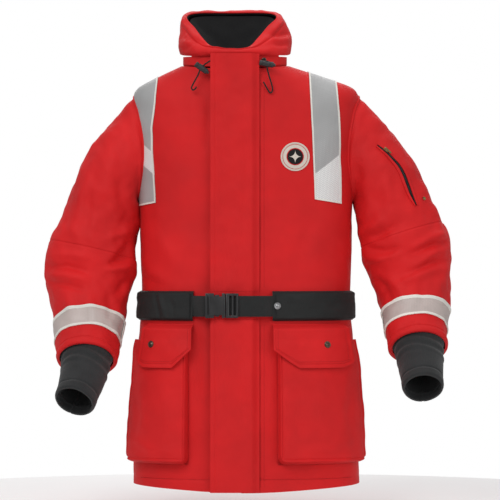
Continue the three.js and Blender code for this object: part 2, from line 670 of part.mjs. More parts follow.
function sleeveAt(word, v) {
  const list = SLEEVES[word];
  const low = THREE.MathUtils.clamp(Math.floor(v), 0, LAST_STATION - 1);
  const near = [low - 1, low, low + 1, low + 2].map((n) => list[THREE.MathUtils.clamp(n, 0, LAST_STATION)]);
  const blend = (read) => spline(...near.map(read), v - low);
  return {
    middle: new THREE.Vector3(...['x', 'y', 'z'].map((k) => blend((s) => s.middle[k]))),
    width: blend((s) => s.width),
    depth: blend((s) => s.depth),
  };
}

// u is the turn round the sleeve: 0 faces the front and a quarter faces -X.
function ringPoint(middle, direction, width, depth, u, grow) {
  const across = new THREE.Vector3(0, -1, 0).cross(direction).normalize();
  const forward = direction.clone().cross(across).normalize();
  const turn = 2 * Math.PI * u;
  return middle.clone()
    .addScaledVector(across, -Math.sin(turn) * (width / 2 + grow))
    .addScaledVector(forward, Math.cos(turn) * (depth / 2 + grow));
}

function sleeveDirection(word, v) {
  const step = 0.02;
  return sleeveAt(word, v + step).middle.sub(sleeveAt(word, v - step).middle).normalize();
}

function sleevePoint(word, u, v, grow) {
  const s = sleeveAt(word, v);
  return ringPoint(s.middle, sleeveDirection(word, v), s.width, s.depth, u, grow);
}

const AROUND = 20;

function sleeveTube(word, from, to, rows, inner, outer) {
  return hoop(AROUND, wallProfile(from, to, rows, inner, outer),
    (u, v, o) => sleevePoint(word, u, v, o));
}

// The point on the body's side at a y and a height.
function sidePoint(side, y, z) {
  let low = 0;
  let high = Math.PI;
  for (let i = 0; i < 24; i += 1) {
    const middle = (low + high) / 2;
    if (bodyPoint(side * middle, ringNumber(side * middle, z)).y < y) low = middle;
    else high = middle;
  }
  const angle = side * (low + high) / 2;
  return [angle, ringNumber(angle, z)];
}

// The soft head of the sleeve bridges the armhole and the first ring of the upper sleeve.
const armholeFound = new Map();

function armholeRing(side, u) {
  const key = `${side} ${u.toFixed(4)}`;
  if (!armholeFound.has(key)) {
    const turn = 2 * Math.PI * u;
    const y = ARMHOLE_Y - Math.cos(turn) * (ARMHOLE_DEPTH / 2 - ARMHOLE_CLEAR);
    const z = ARMHOLE_Z - side * Math.sin(turn) * (ARMHOLE_HEIGHT / 2 - ARMHOLE_CLEAR);
    armholeFound.set(key, sidePoint(side, y, z));
  }
  return armholeFound.get(key);
}

function capPoint(word, side, u, v, grow) {
  const [angle, ringV] = armholeRing(side, u);
  const armhole = bodyOffset(angle, ringV, SHELL + CAP_LIFT + grow * 0.2);
  const centre = new THREE.Vector3(armhole.x, ARMHOLE_Y, ARMHOLE_Z);
  const outwards = armhole.clone().sub(centre).normalize();
  armhole.addScaledVector(outwards, grow * 0.8);
  const end = sleevePoint(word, u, 0, grow);
  const reach = armhole.distanceTo(end) * 0.36;
  const slope = new THREE.Vector3(side * CAP_SLOPE.out, outwards.y * 0.4, -CAP_SLOPE.down);
  const leave = armhole.clone().addScaledVector(slope.normalize(), reach);
  const arrive = end.clone().addScaledVector(sleeveDirection(word, 0), -reach);
  return new THREE.CubicBezierCurve3(armhole, leave, arrive, end).getPoint(v);
}

// A point on the outside of a sleeve: w runs 0 to 1 down the head, then on along the stations.
const sleeveOutside = (word, side, u, w, grow) =>
  (w < 1 ? capPoint(word, side, u, w, grow) : sleevePoint(word, u, w - 1, grow));

function makeSleeveZip() {
  const strip = (half, inner, outer) => bend(1, 9, 1, (s, t, o) => sleeveOutside(
    'right', 1, SLEEVE_ZIP_TURN + mix(half, -half, s) / 470, mix(...SLEEVE_ZIP_RUN, t), mix(inner, outer, o)));
  const tape = toGeometry(outward(toSolid(strip(7, 1.2, 2.4))));
  addMesh('sleeve_zip', tape, BLACK_CLOTH);
  const [start, end] = [0.04, 0.12].map((t) =>
    sleeveOutside('right', 1, SLEEVE_ZIP_TURN, mix(...SLEEVE_ZIP_RUN, t), 5.4));
  const middle = start.clone().lerp(end, 0.5);
  const slider = new THREE.BoxGeometry(7, 12, 2.6);
  const turn = new THREE.Matrix4().lookAt(end, start, new THREE.Vector3(0, -1, 0));
  slider.rotateX(Math.PI / 2).applyMatrix4(turn).translate(middle.x, middle.y, middle.z);
  addMesh('sleeve_zip_slider', slider, BRONZE);
  const seat = sleeveOutside('right', 1, SLEEVE_RIVET_TURN, SLEEVE_RIVET_AT, 0);
  const lifted = sleeveOutside('right', 1, SLEEVE_RIVET_TURN, SLEEVE_RIVET_AT, 3);
  addMesh('sleeve_rivet', button(seat, lifted.clone().sub(seat).normalize(), RIVET_SCALE), BRONZE);
}

function makeSleeve(word, side) {
  const wall = SLEEVE_WALL;
  const cap = hoop(AROUND, wallProfile(0, 0.965, 4, -wall, 0),
    (u, v, o) => capPoint(word, side, u, v, o));
  addMesh(`sleeve_cap_${word}`, cap, RED);
  addMesh(`upper_sleeve_${word}`, sleeveTube(word, 0, UPPER_END, 4, -wall, 0), RED);
  addMesh(`elbow_fold_${word}`,
    sleeveTube(word, UPPER_END + 0.012, LOWER_START - 0.012, 3, -wall, 0), DARK_RED);
  addMesh(`lower_sleeve_${word}`, sleeveTube(word, LOWER_START, LAST_STATION, 5, -wall, 0), RED);
  addMesh(`wrist_tape_${word}`, sleeveTube(word, 3.72, 4.18, 1, TOUCH + 0.5, TOUCH + 0.5 + WRIST_TAPE),
    WRIST_SILVER);
  makeCuff(word);
}

function makeCuff(word) {
  const last = sleeveAt(word, LAST_STATION);
  const start = sleeveAt(word, LAST_STATION - 0.25);
  const direction = sleeveDirection(word, LAST_STATION);
  const end = new THREE.Vector3(...CUFF_ENDS[word]);
  const bow = last.middle.clone().addScaledVector(direction, start.middle.distanceTo(end) * 0.35);
  const curve = new THREE.QuadraticBezierCurve3(start.middle, bow, end);
  const place = (u, v, o) => {
    const width = mix(last.width - 2 * SLEEVE_WALL - CUFF_CLEAR, CUFF_OPENING, v ** 0.8);
    const depth = mix(last.depth - 2 * SLEEVE_WALL - CUFF_CLEAR, CUFF_OPENING, v ** 0.8);
    return ringPoint(curve.getPoint(v), curve.getTangent(v), width, depth, u, o);
  };
  addMesh(`cuff_${word}`, hoop(AROUND, wallProfile(0, 1, 4, -CUFF_WALL, 0), place), NEOPRENE);
}

// ---- trim ----
const TAPE_TOPS = { left: -46, right: -30 };
const TAPE_BOTTOM_Z = -264;
const TAPE_OUT = { left: 142, right: 173 };

function makeShoulderTape(word, side) {
  const x = FRONT_CENTRE_X + side * TAPE_OUT[word];
  const edges = [xEdge(x - TAPE_WIDTH / 2), xEdge(x + TAPE_WIDTH / 2)];
  const lift = SHELL + 1.2;
  addMesh(`shoulder_tape_${word}`, patch(edges, [TAPE_TOPS[word], TAPE_BOTTOM_Z],
    lift, lift + TAPE_THICKNESS, 3, 8), REFLECTIVE);
}

// Each hood cord leaves its eyelet, passes down through its lock and ends in a bent tail.
const CORD_ROUTES = {
  left: [[-61, -95, 9], [-62, -99.5, 9.6], [-65, -104, 8.4], [-70.5, -106.8, 4.2], [-77, -107.5, 0], [-83, -108, -6],
    [-87, -108, -12], [-90, -107, -20], [-95, -105.5, -29], [-100, -104, -38], [-102.5, -103.5, -44],
    [-100.5, -103.5, -48], [-96.5, -104.5, -47], [-93, -105.5, -42.5]],
  right: [[34, -90, 9], [34.5, -94.5, 10.6], [35.6, -99.5, 10.6], [37, -102.4, 7.6], [38, -103, 3.5], [39, -103, -3],
    [40.5, -103, -10], [43, -103, -20], [46, -103, -30], [49, -103, -40], [50, -103.5, -48],
    [48, -104, -53], [44, -104.5, -52.5], [40, -105, -46], [36, -105.5, -39], [33, -106, -33]],
};
const LOCKS = {
  left: { at: [-84, -108, -7], along: [0.82, 0, -0.57], bore: [-0.57, 0, -0.82] },
  right: { at: [38.4, -103, 1], along: [0.98, 0, -0.17], bore: [0.17, 0, -0.98] },
};

function aimed(geometry, direction, at) {
  const turn = new THREE.Quaternion().setFromUnitVectors(
    new THREE.Vector3(0, 1, 0), new THREE.Vector3(...direction).normalize());
  return geometry.applyQuaternion(turn).translate(...at);
}

function makeCord(word) {
  const route = new THREE.CatmullRomCurve3(
    CORD_ROUTES[word].map((p) => new THREE.Vector3(...p)), false, 'centripetal');
  addMesh(`hood_cord_${word}`, tube(route, CORD_DIAMETER, 8, 26), CORD_BLACK);
  const [start, next] = CORD_ROUTES[word];
  const section = [[2.4, -1], [EYELET_DIAMETER / 2, -1], [EYELET_DIAMETER / 2, 1], [2.4, 1], [2.4, -1]];
  const eyelet = new THREE.LatheGeometry(section.map((p) => new THREE.Vector2(...p)), 14);
  addMesh(`eyelet_${word}`, toGeometry(outward(toSolid(
    aimed(eyelet, [0, start[1] - next[1], 0], [start[0], start[1] + EYELET_SINK, start[2]])))), BRONZE);
  const { at, along, bore } = LOCKS[word];
  const barrel = new THREE.CylinderGeometry(LOCK_DIAMETER / 2, LOCK_DIAMETER / 2, LOCK_LENGTH, 12);
  const hole = new THREE.CylinderGeometry(LOCK_BORE / 2, LOCK_BORE / 2, LOCK_DIAMETER * 2, 10);
  const well = new THREE.CylinderGeometry(LOCK_DIAMETER / 2 - 2, LOCK_DIAMETER / 2 - 2, 9, 10);
  const mouth = new THREE.Vector3(...along).normalize().multiplyScalar(LOCK_LENGTH / 2 - 3);
  const body = cut(aimed(barrel, along, at), aimed(hole, bore, at),
    aimed(well, along, mouth.clone().add(new THREE.Vector3(...at)).toArray()));
  addMesh(`cord_lock_${word}`, body, PLASTIC);
  const plunger = new THREE.CylinderGeometry(LOCK_DIAMETER / 2 - 2.4, LOCK_DIAMETER / 2 - 2.4, 5, 10);
  const reach = mouth.clone().normalize().multiplyScalar(LOCK_LENGTH / 2 + 1.2);
  addMesh(`lock_plunger_${word}`,
    aimed(plunger, along, reach.add(new THREE.Vector3(...at)).toArray()), PLASTIC);
}

makeTorso();
makeCollar();
makeHood();
makeClosing();
makeBelt();
makeSleeveZip();
for (const [word, side] of SIDES) {
  makePocket(word, side);
  makeSleeve(word, side);
  makeShoulderTape(word, side);
  makeCord(word);
}

export default group;
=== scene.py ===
import math

import bpy
import numpy as np
from bpy.props import FloatProperty, FloatVectorProperty
from mathutils import Matrix, Vector


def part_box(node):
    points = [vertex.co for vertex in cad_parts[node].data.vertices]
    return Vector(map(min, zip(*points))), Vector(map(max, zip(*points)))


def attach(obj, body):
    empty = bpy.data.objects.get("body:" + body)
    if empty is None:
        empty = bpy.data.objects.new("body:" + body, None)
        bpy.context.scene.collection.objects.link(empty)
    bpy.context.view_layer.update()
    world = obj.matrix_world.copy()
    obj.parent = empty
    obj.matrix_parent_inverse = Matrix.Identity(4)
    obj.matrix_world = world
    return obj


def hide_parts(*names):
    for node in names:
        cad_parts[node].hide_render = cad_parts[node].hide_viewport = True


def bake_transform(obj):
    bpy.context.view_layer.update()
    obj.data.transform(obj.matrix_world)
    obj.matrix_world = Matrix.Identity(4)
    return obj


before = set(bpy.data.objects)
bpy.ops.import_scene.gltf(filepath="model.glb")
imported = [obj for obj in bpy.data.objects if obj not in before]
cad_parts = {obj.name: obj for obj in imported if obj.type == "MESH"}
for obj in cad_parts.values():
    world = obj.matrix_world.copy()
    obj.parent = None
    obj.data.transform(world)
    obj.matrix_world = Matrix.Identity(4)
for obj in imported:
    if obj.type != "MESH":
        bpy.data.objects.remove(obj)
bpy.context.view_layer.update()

bl_info = {
    "name": "Foul Weather Jacket",
    "version": (1, 0, 0),
    "blender": (4, 5, 0),
    "location": "3D View > Sidebar > Jacket",
    "description": "Builds an insulated sailing jacket around its packed frame",
    "category": "Add Mesh",
}

MM = 0.001
SIDES = (("left", -1), ("right", 1))

# ---- sizes shared with the frame, in metres ----
LENGTH = 805 * MM
FRONT_X = -24 * MM
FRONT_NECK_Y = -97 * MM
FRONT_HEM_Y = -138 * MM
BELT_Z = -455 * MM
SHELL = 2.4 * MM
TILT = math.atan2(FRONT_NECK_Y - FRONT_HEM_Y, LENGTH)

# Each ring: height of side, front and back, half width, y of the back, shift in x, squareness.
RINGS = np.array([(0, -6, 8, 98, 48, -21, 2), (-22, -42, -22, 157.28, 85, -10.5, 2.1), (-45, -84, -66, 206.7, 110.9,
    0, 2.3), (-84, -126, -112, 212, 122, 0, 2.4), (-170, -180, -176, 206.5, 122, 0, 2.5), (-280, -280, -280, 201,
    122, 0, 2.5), (-370, -370, -370, 199, 117, 0, 2.5), (-455, -455, -455, 197, 112, 0, 2.5), (-560, -560, -560,
    205.5, 121, 0, 2.5), (-690, -690, -690, 210, 130, 0, 2.5), (-805, -805, -805, 214, 130, 0, 2.5)], float)
RINGS[:, :6] *= MM
LAST_RING = len(RINGS) - 1


def mm(*lengths):
    """Lengths in millimetres, as metres."""
    return tuple(length * MM for length in lengths)


def turns(count):
    """Equal angles once round a circle."""
    return np.linspace(0, 2 * math.pi, count, endpoint=False)


def lerp(a, b, t):
    return a + (b - a) * t


def smooth(t):
    t = np.clip(t, 0, 1)
    return t * t * (3 - 2 * t)


def hump(x, middle, width):
    """A smooth bump of height 1 round a middle."""
    return np.exp(-((x - middle) / width) ** 2)


def grid(across, down):
    """Two shares or places as full grids, the first along the columns and the second along the rows."""
    return np.broadcast_arrays(np.asarray(across)[None], np.asarray(down)[:, None])


def unit(v):
    return v / np.maximum(np.linalg.norm(v, axis=-1, keepdims=True), 1e-12)


def spline(a, b, c, d, t):
    """The smooth curve from b to c with a and d as its neighbours, at share t."""
    rise = 2 * a - 5 * b + 4 * c - d
    return 0.5 * (2 * b + (c - a) * t + rise * t * t + (-a + 3 * b - 3 * c + d) * t ** 3)


def halved(low, high, rounds, too_low):
    """The value between low and high at which too_low stops being true, by halving."""
    for _ in range(rounds):
        middle = (low + high) / 2
        below = too_low(middle)
        low, high = np.where(below, middle, low), np.where(below, high, middle)
    return (low + high) / 2


def catmull(table, v, last):
    """The smooth curve through a table's rows, at row numbers v."""
    v = np.asarray(v, float)
    low = np.clip(np.floor(v).astype(int), 0, last - 1)
    a, b, c, d = (table[np.clip(low + k, 0, last)] for k in (-1, 0, 1, 2))
    t = (v - low)[..., None]
    return spline(a, b, c, d, t)


def body_point(angle, v):
    """A point on the coat's body: angle 0 is the front, +90 degrees the +X side."""
    angle, v = np.broadcast_arrays(np.asarray(angle, float), np.asarray(v, float))
    side, front_z, back_z, half, back_y, shift, square = np.moveaxis(catmull(RINGS, v, LAST_RING), -1, 0)
    s, c = np.sin(angle), np.cos(angle)
    middle = np.where(c >= 0, front_z, back_z)
    front = lerp(FRONT_NECK_Y, FRONT_HEM_Y, -front_z / LENGTH)
    deep = (back_y - front) / 2
    reach = (np.abs(s / half) ** square + np.abs(c / deep) ** square) ** (-1 / square)
    share = np.minimum(1, np.abs(reach * s / half))
    return np.stack([shift + reach * s, (back_y + front) / 2 - reach * c, middle + (side - middle) * share ** 2], -1)


def body_normal(angle, v):
    e = 1e-3
    along = body_point(angle + e, v) - body_point(angle - e, v)
    down = body_point(angle, v + e) - body_point(angle, v - e)
    return unit(np.cross(down, along))


def ring_number(angle, z):
    """The ring number at a height, along one angle."""
    angle, z = np.broadcast_arrays(np.asarray(angle, float), np.asarray(z, float))
    top, bottom = np.zeros(angle.shape), np.full(angle.shape, float(LAST_RING))
    return halved(top, bottom, 17, lambda v: body_point(angle, v)[..., 2] > z)


def front_angle(x, z):
    """The angle on the front half at which the body is at an x, at a height."""
    x, z = np.broadcast_arrays(np.asarray(x, float), np.asarray(z, float))
    quarter = np.full(x.shape, math.pi / 2)
    return halved(-quarter, quarter, 15, lambda angle: body_point(angle, ring_number(angle, z))[..., 0] < x)


# ---- folds ----
def near_line(points, line):
    """Distance from 2-D points to a polyline, and how far along it the nearest point is, 0 to 1."""
    line = np.asarray(line, float)
    best, where = np.full(len(points), 1e9), np.zeros(len(points))
    spans = np.linalg.norm(np.diff(line, axis=0), axis=1)
    starts, total = np.concatenate([[0], np.cumsum(spans)]), spans.sum()
    for i, span in enumerate(spans):
        way = (line[i + 1] - line[i]) / span
        t = np.clip((points - line[i]) @ way, 0, span)
        gap = np.linalg.norm(points - line[i] - t[:, None] * way, axis=1)
        near = gap < best
        best, where = np.where(near, gap, best), np.where(near, (starts[i] + t) / total, where)
    return best, where


def folds(points, table):
    """Height of a set of folds at 2-D points in millimetres. A fold has its height,
    its half width, and then x and z of each point of its line."""
    flat = points.reshape(-1, 2)
    out = np.zeros(len(flat))
    for height, width, *line in table:
        gap, where = near_line(flat, np.reshape(line, (-1, 2)))
        fade = np.sin(np.pi * np.clip(where, 0.02, 0.98)) ** 0.6
        out += height * fade * hump(gap, 0, width)
    return out.reshape(points.shape[:-1])


def ripple(points, seed, size, layers=5):
    """Smooth random height, about -1 to 1, over points in metres. size is the distance between bumps."""
    random = np.random.default_rng(seed)
    total, out = 0, np.zeros(points.shape[:-1])
    for layer in range(layers):
        for _ in range(5):
            wave = random.normal(size=3)
            wave *= 2 * math.pi / (size / 1.5 ** layer) / np.linalg.norm(wave)
            out += np.sin(points @ wave + random.uniform(0, 6.28)) / 1.6 ** layer
        total += 2.2 / 1.6 ** layer
    return out / total


# Folds of the body's front, in millimetres.
BODY_FOLDS = [(-2.0, 9, -92, 8, -80, -40, -70, -90, -76, -160), (1.6, 12, -106, -20, -100, -70, -96, -140), (-1.6, 7,
    200, -180, 212, -230, 207, -290), (2.2, 7, 184, -366, 196, -382, 190, -414), (2.0, 6, 172, -330, 190, -352, 204,
    -372), (-2.4, 6, 178, -345, 196, -366, 196, -410), (-1.8, 9, -205, -380, -192, -404, -150, -422), (1.6, 9, -200,
    -362, -180, -392, -140, -408), (1.5, 14, -190, -300, -150, -350, -110, -404), (-1.5, 12, 120, -300, 100, -350,
    96, -410), (1.4, 14, 150, -280, 132, -340, 128, -412), (-1.4, 11, -176, -250, -180, -310, -170, -370), (1.5, 12,
    -196, -300, -196, -350, -186, -400), (-1.4, 12, 60, -492, 64, -560, 58, -640), (1.2, 12, 44, -492, 47, -580, 44,
    -680), (-1.5, 10, -92, -494, -88, -560, -92, -660), (1.4, 10, -78, -490, -76, -560, -80, -640), (1.3, 22, 80,
    -120, 60, -220, 70, -330), (-1.2, 24, 130, -210, 120, -290, 140, -360), (1.2, 22, -120, -110, -110, -220, -130,
    -310), (1.4, 16, -200, -770, -100, -790, -20, -796), (-1.3, 14, 190, -768, 100, -780, 40, -790)]
# Folds of the back.
BACK_FOLDS = [(2.2, 16, -170, -180, -130, -250, -110, -330), (2.2, 16, 170, -180, 130, -250, 110, -330), (-2.0, 13,
    -186, -200, -152, -280, -140, -360), (-2.0, 13, 186, -200, 152, -280, 140, -360), (2.0, 15, -60, -330, -50, -390,
    -62, -428), (2.0, 15, 70, -320, 58, -380, 66, -428), (-1.8, 12, 10, -330, 4, -380, 8, -428), (2.4, 14, -120,
    -484, -126, -560, -118, -650), (2.4, 14, 112, -484, 120, -570, 110, -660), (-2.0, 13, -80, -486, -70, -560, -78,
    -640), (-2.0, 13, 60, -486, 66, -570, 58, -650), (1.8, 16, 0, -486, -6, -580, 4, -690), (1.5, 24, -150, -110, 0,
    -150, 150, -110)]


def body_relief(points, normals):
    """How far the cloth stands off the body's plain surface, in metres."""
    seen = points[..., [0, 2]] / MM
    front = smooth(-normals[..., 1] * 1.6)
    back = smooth(normals[..., 1] * 1.6)
    deep = front * folds(seen, BODY_FOLDS) + back * folds(seen, BACK_FOLDS)
    steady = smooth((-points[..., 2] - 0.02) / 0.08)
    deep = deep + steady * (1.3 * ripple(points, 7, 0.16) + 0.5 * ripple(points, 3, 0.05, 3))
    gathered = hump(points[..., 2], BELT_Z, 0.05)
    return deep * (1 - 0.7 * gathered * smooth((0.04 - np.abs(points[..., 2] - BELT_Z)) / 0.02)) * MM


def skin(angle, v, lift):
    """A point on the folded coat, lifted off it."""
    angle, v = np.broadcast_arrays(np.asarray(angle, float), np.asarray(v, float))
    point, normal = body_point(angle, v), body_normal(angle, v)
    return point + normal * (body_relief(point, normal) + lift)[..., None]


def skin_at(angle, z, lift):
    return skin(angle, ring_number(angle, z), lift)


# ---- meshes ----
def box_middle(node):
    """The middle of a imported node's box."""
    return np.mean(np.array(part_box(node)), axis=0)


CLOTH_CREASE, TUBE_CREASE, TURNED_CREASE, BLOCK_CREASE = 38, 50, 30, 35


def new_piece(name, points, faces, uvs, crease=CLOTH_CREASE):
    """A mesh object whose faces point outwards. uvs holds one pair in metres for each point."""
    points = np.asarray(points, float)
    mesh = bpy.data.meshes.new(name)
    mesh.from_pydata(points.tolist(), [], [list(map(int, f)) for f in faces])
    loops = np.zeros(len(mesh.loops), int)
    mesh.loops.foreach_get("vertex_index", loops)
    layer = mesh.uv_layers.new(name="UVMap")
    layer.data.foreach_set("uv", np.asarray(uvs, np.float32)[loops].ravel())
    mesh.update()
    if volume(mesh) < 0:
        mesh.flip_normals()
    mesh.shade_smooth()
    mesh.set_sharp_from_angle(angle=math.radians(crease))
    piece = bpy.data.objects.new(name, mesh)
    bpy.context.scene.collection.objects.link(piece)
    return piece


def volume(mesh):
    mesh.calc_loop_triangles()
    corners = np.zeros(len(mesh.loop_triangles) * 3, int)
    mesh.loop_triangles.foreach_get("vertices", corners)
    points = np.zeros(len(mesh.vertices) * 3)
    mesh.vertices.foreach_get("co", points)
    a, b, c = np.moveaxis(points.reshape(-1, 3)[corners.reshape(-1, 3)], 1, 0)
    return float(np.einsum("ij,ij->i", a, np.cross(b, c)).sum() / 6)


def surface_lengths(points):
    """A pair for each point of a grid: its distance across and down the surface, in metres."""
    across = np.linalg.norm(np.diff(points, axis=1), axis=-1).mean(0)
    down = np.linalg.norm(np.diff(points, axis=0), axis=-1).mean(1)
    u, v = np.concatenate([[0], np.cumsum(across)]), np.concatenate([[0], np.cumsum(down)])
    return np.stack(np.broadcast_arrays(u[None, :] - u[-1] / 2, v[:, None]), -1)


def slab(name, outer, inner, keep=None, wrap=False):
    """A closed wall between two grids of points. keep marks the grid's squares that exist."""
    rows, columns = outer.shape[:2]
    across = columns if wrap else columns - 1
    if keep is None:
        keep = np.ones((rows - 1, across), bool)
    count = rows * columns
    r, c = np.nonzero(keep)
    d = (c + 1) % columns
    quads = np.stack([r * columns + c, r * columns + d, (r + 1) * columns + d, (r + 1) * columns + c], 1)
    faces = [quads, quads[:, ::-1] + count]
    edges = np.concatenate([quads[:, [k, (k + 1) % 4]] for k in range(4)])
    code = edges[:, 0].astype(np.int64) * count + edges[:, 1]
    other = edges[:, 1].astype(np.int64) * count + edges[:, 0]
    rim = edges[~np.isin(code, other)]
    faces.append(np.stack([rim[:, 1], rim[:, 0], rim[:, 0] + count, rim[:, 1] + count], 1))
    faces = np.concatenate(faces)
    points = np.concatenate([outer.reshape(-1, 3), inner.reshape(-1, 3)])
    flat = surface_lengths(outer).reshape(-1, 2)
    uvs = np.concatenate([flat, flat])
    used, index = np.unique(faces, return_inverse=True)
    return new_piece(name, points[used], index.reshape(faces.shape), uvs[used])


def ring_faces(rows, sides):
    """The faces that join rows of rings of points and close both ends."""
    faces = []
    for k in range(rows - 1):
        for i in range(sides):
            j = (i + 1) % sides
            faces.append((k * sides + i, k * sides + j, (k + 1) * sides + j, (k + 1) * sides + i))
    return faces + [tuple(range(sides))[::-1], tuple(range((rows - 1) * sides, rows * sides))]


def tube(name, path, radii, sides=12):
    """A round bar along points, with a radius at each."""
    path = np.asarray(path, float)
    radii = np.broadcast_to(np.asarray(radii, float), (len(path),))
    way = unit(np.gradient(path, axis=0))
    first = np.cross(way[0], (0.31, 0.17, 0.93))
    frames = [unit(first)]
    for k in range(1, len(path)):
        last = frames[-1]
        frames.append(unit(last - way[k] * (last @ way[k])))
    side = np.array(frames)
    other = np.cross(way, side)
    turn = turns(sides)
    ring = (side[:, None] * np.cos(turn)[None, :, None] + other[:, None] * np.sin(turn)[None, :, None])
    points = path[:, None] + ring * radii[:, None, None]
    faces = ring_faces(len(path), sides)
    uvs = np.zeros((len(path) * sides, 2))
    uvs[:, 0] = np.tile(turn, len(path)) * radii.mean()
    uvs[:, 1] = np.repeat(np.concatenate([[0], np.cumsum(np.linalg.norm(np.diff(path, axis=0), axis=1))]), sides)
    return new_piece(name, points.reshape(-1, 3), faces, uvs, TUBE_CREASE)


def turned(name, profile, seat, out, sides=28):
    """A turned shape: profile holds radius and height, standing on seat and facing out."""
    out = unit(np.asarray(out, float))
    a = unit(np.cross(out, (0.2, 0.1, 0.97)))
    b = np.cross(out, a)
    turn = turns(sides)
    circle = a[None] * np.cos(turn)[:, None] + b[None] * np.sin(turn)[:, None]
    points = []
    for radius, height in profile:
        points.extend(np.asarray(seat) + circle * radius + out * height)
    faces = ring_faces(len(profile), sides)
    uvs = np.array([(k, 0.0) for k in range(len(points))]) * MM
    return new_piece(name, points, faces, uvs, TURNED_CREASE)


def closing_point(x, y, z):
    """A point of the straight front closing, tilted as the coat's front is."""
    x, y, z = np.broadcast_arrays(np.asarray(x, float), np.asarray(y, float), np.asarray(z, float))
    c, s = math.cos(TILT), math.sin(TILT)
    return np.stack([FRONT_X + x, FRONT_NECK_Y + y * c + z * s, -y * s + z * c], -1)


def rounded_block(name, size, place, bevel, cuts=()):
    """A moulded block with rounded edges. size is (x, y, z); place turns local points into the frame's."""
    bpy.ops.mesh.primitive_cube_add(size=1)
    block = bpy.context.object
    block.name = name
    block.data.transform(Matrix.Diagonal((*size, 1)))
    for cutter_size, cutter_at in cuts:
        bpy.ops.mesh.primitive_cube_add(size=1, location=cutter_at)
        tool = bpy.context.object
        tool.data.transform(Matrix.Diagonal((*cutter_size, 1)))
        modifier = block.modifiers.new("cut", "BOOLEAN")
        modifier.object = tool
        modifier.solver = "EXACT"
        apply_modifiers(block)
        bpy.data.objects.remove(tool)
    modifier = block.modifiers.new("bevel", "BEVEL")
    modifier.width = bevel
    modifier.segments = 3
    modifier.angle_limit = math.radians(40)
    apply_modifiers(block)
    mesh = block.data
    points = np.zeros(len(mesh.vertices) * 3)
    mesh.vertices.foreach_get("co", points)
    points = place(points.reshape(-1, 3))
    mesh.vertices.foreach_set("co", points.ravel())
    block.location = (0, 0, 0)
    mesh.shade_smooth()
    mesh.set_sharp_from_angle(angle=math.radians(BLOCK_CREASE))
    mesh.update()
    if volume(mesh) < 0:
        mesh.flip_normals()
    return block


def apply_modifiers(piece):
    view = bpy.context.evaluated_depsgraph_get()
    fresh = bpy.data.meshes.new_from_object(piece.evaluated_get(view))
    piece.modifiers.clear()
    piece.data = fresh


def joined(name, pieces):
    """Several meshes as one object. Each stays closed by itself."""
    for other in bpy.context.selected_objects:
        other.select_set(False)
    for piece in pieces:
        piece.select_set(True)
    bpy.context.view_layer.objects.active = pieces[0]
    bpy.ops.object.join()
    pieces[0].name = name
    pieces[0].data.name = name
    return pieces[0]


# ---- shader groups ----
def link(tree, source, target):
    tree.links.new(source, target)


def math_node(tree, operation, *values):
    node = tree.nodes.new("ShaderNodeMath")
    node.operation = operation
    for socket, value in zip(node.inputs, values):
        if isinstance(value, (int, float)):
            socket.default_value = value
        else:
            link(tree, value, socket)
    return node.outputs[0]


def times(tree, first, second):
    return math_node(tree, "MULTIPLY", first, second)


def new_group(name, inputs, outputs):
    group = bpy.data.node_groups.new(name, "ShaderNodeTree")
    for label, kind, value in inputs:
        socket = group.interface.new_socket(name=label, in_out="INPUT", socket_type=kind)
        if value is not None:
            socket.default_value = value
    for label, kind in outputs:
        group.interface.new_socket(name=label, in_out="OUTPUT", socket_type=kind)
    return group, group.nodes.new("NodeGroupInput"), group.nodes.new("NodeGroupOutput")


def weave_group():
    """Over and under threads of a plain weave, from a piece's own UV map in metres."""
    group, start, end = new_group("Plain Weave", [
        ("Vector", "NodeSocketVector", None), ("Threads per Metre", "NodeSocketFloat", 900.0)],
        [("Height", "NodeSocketFloat"), ("Gap", "NodeSocketFloat")])
    scaled = group.nodes.new("ShaderNodeVectorMath")
    scaled.operation = "SCALE"
    link(group, start.outputs["Vector"], scaled.inputs[0])
    link(group, start.outputs["Threads per Metre"], scaled.inputs["Scale"])
    parts = group.nodes.new("ShaderNodeSeparateXYZ")
    link(group, scaled.outputs[0], parts.inputs[0])
    x = times(group, parts.outputs["X"], math.pi)
    y = times(group, parts.outputs["Y"], math.pi)
    warp = math_node(group, "ABSOLUTE", math_node(group, "SINE", x))
    weft = math_node(group, "ABSOLUTE", math_node(group, "SINE", y))
    turn = math_node(group, "SIGN", times(group, math_node(group, "SINE", x), math_node(group, "SINE", y)))
    over = math_node(group, "MULTIPLY_ADD", turn, 0.5, 0.5)
    under = math_node(group, "SUBTRACT", 1.0, over)
    height = math_node(group, "ADD", times(group, warp, over), times(group, weft, under))
    # Gap is 1 in the holes between the threads; the finishes darken their colour by it as painted shade
    gap = math_node(group, "SUBTRACT", 1.0, math_node(group, "MINIMUM", warp, weft))
    link(group, height, end.inputs["Height"])
    link(group, gap, end.inputs["Gap"])
    return group


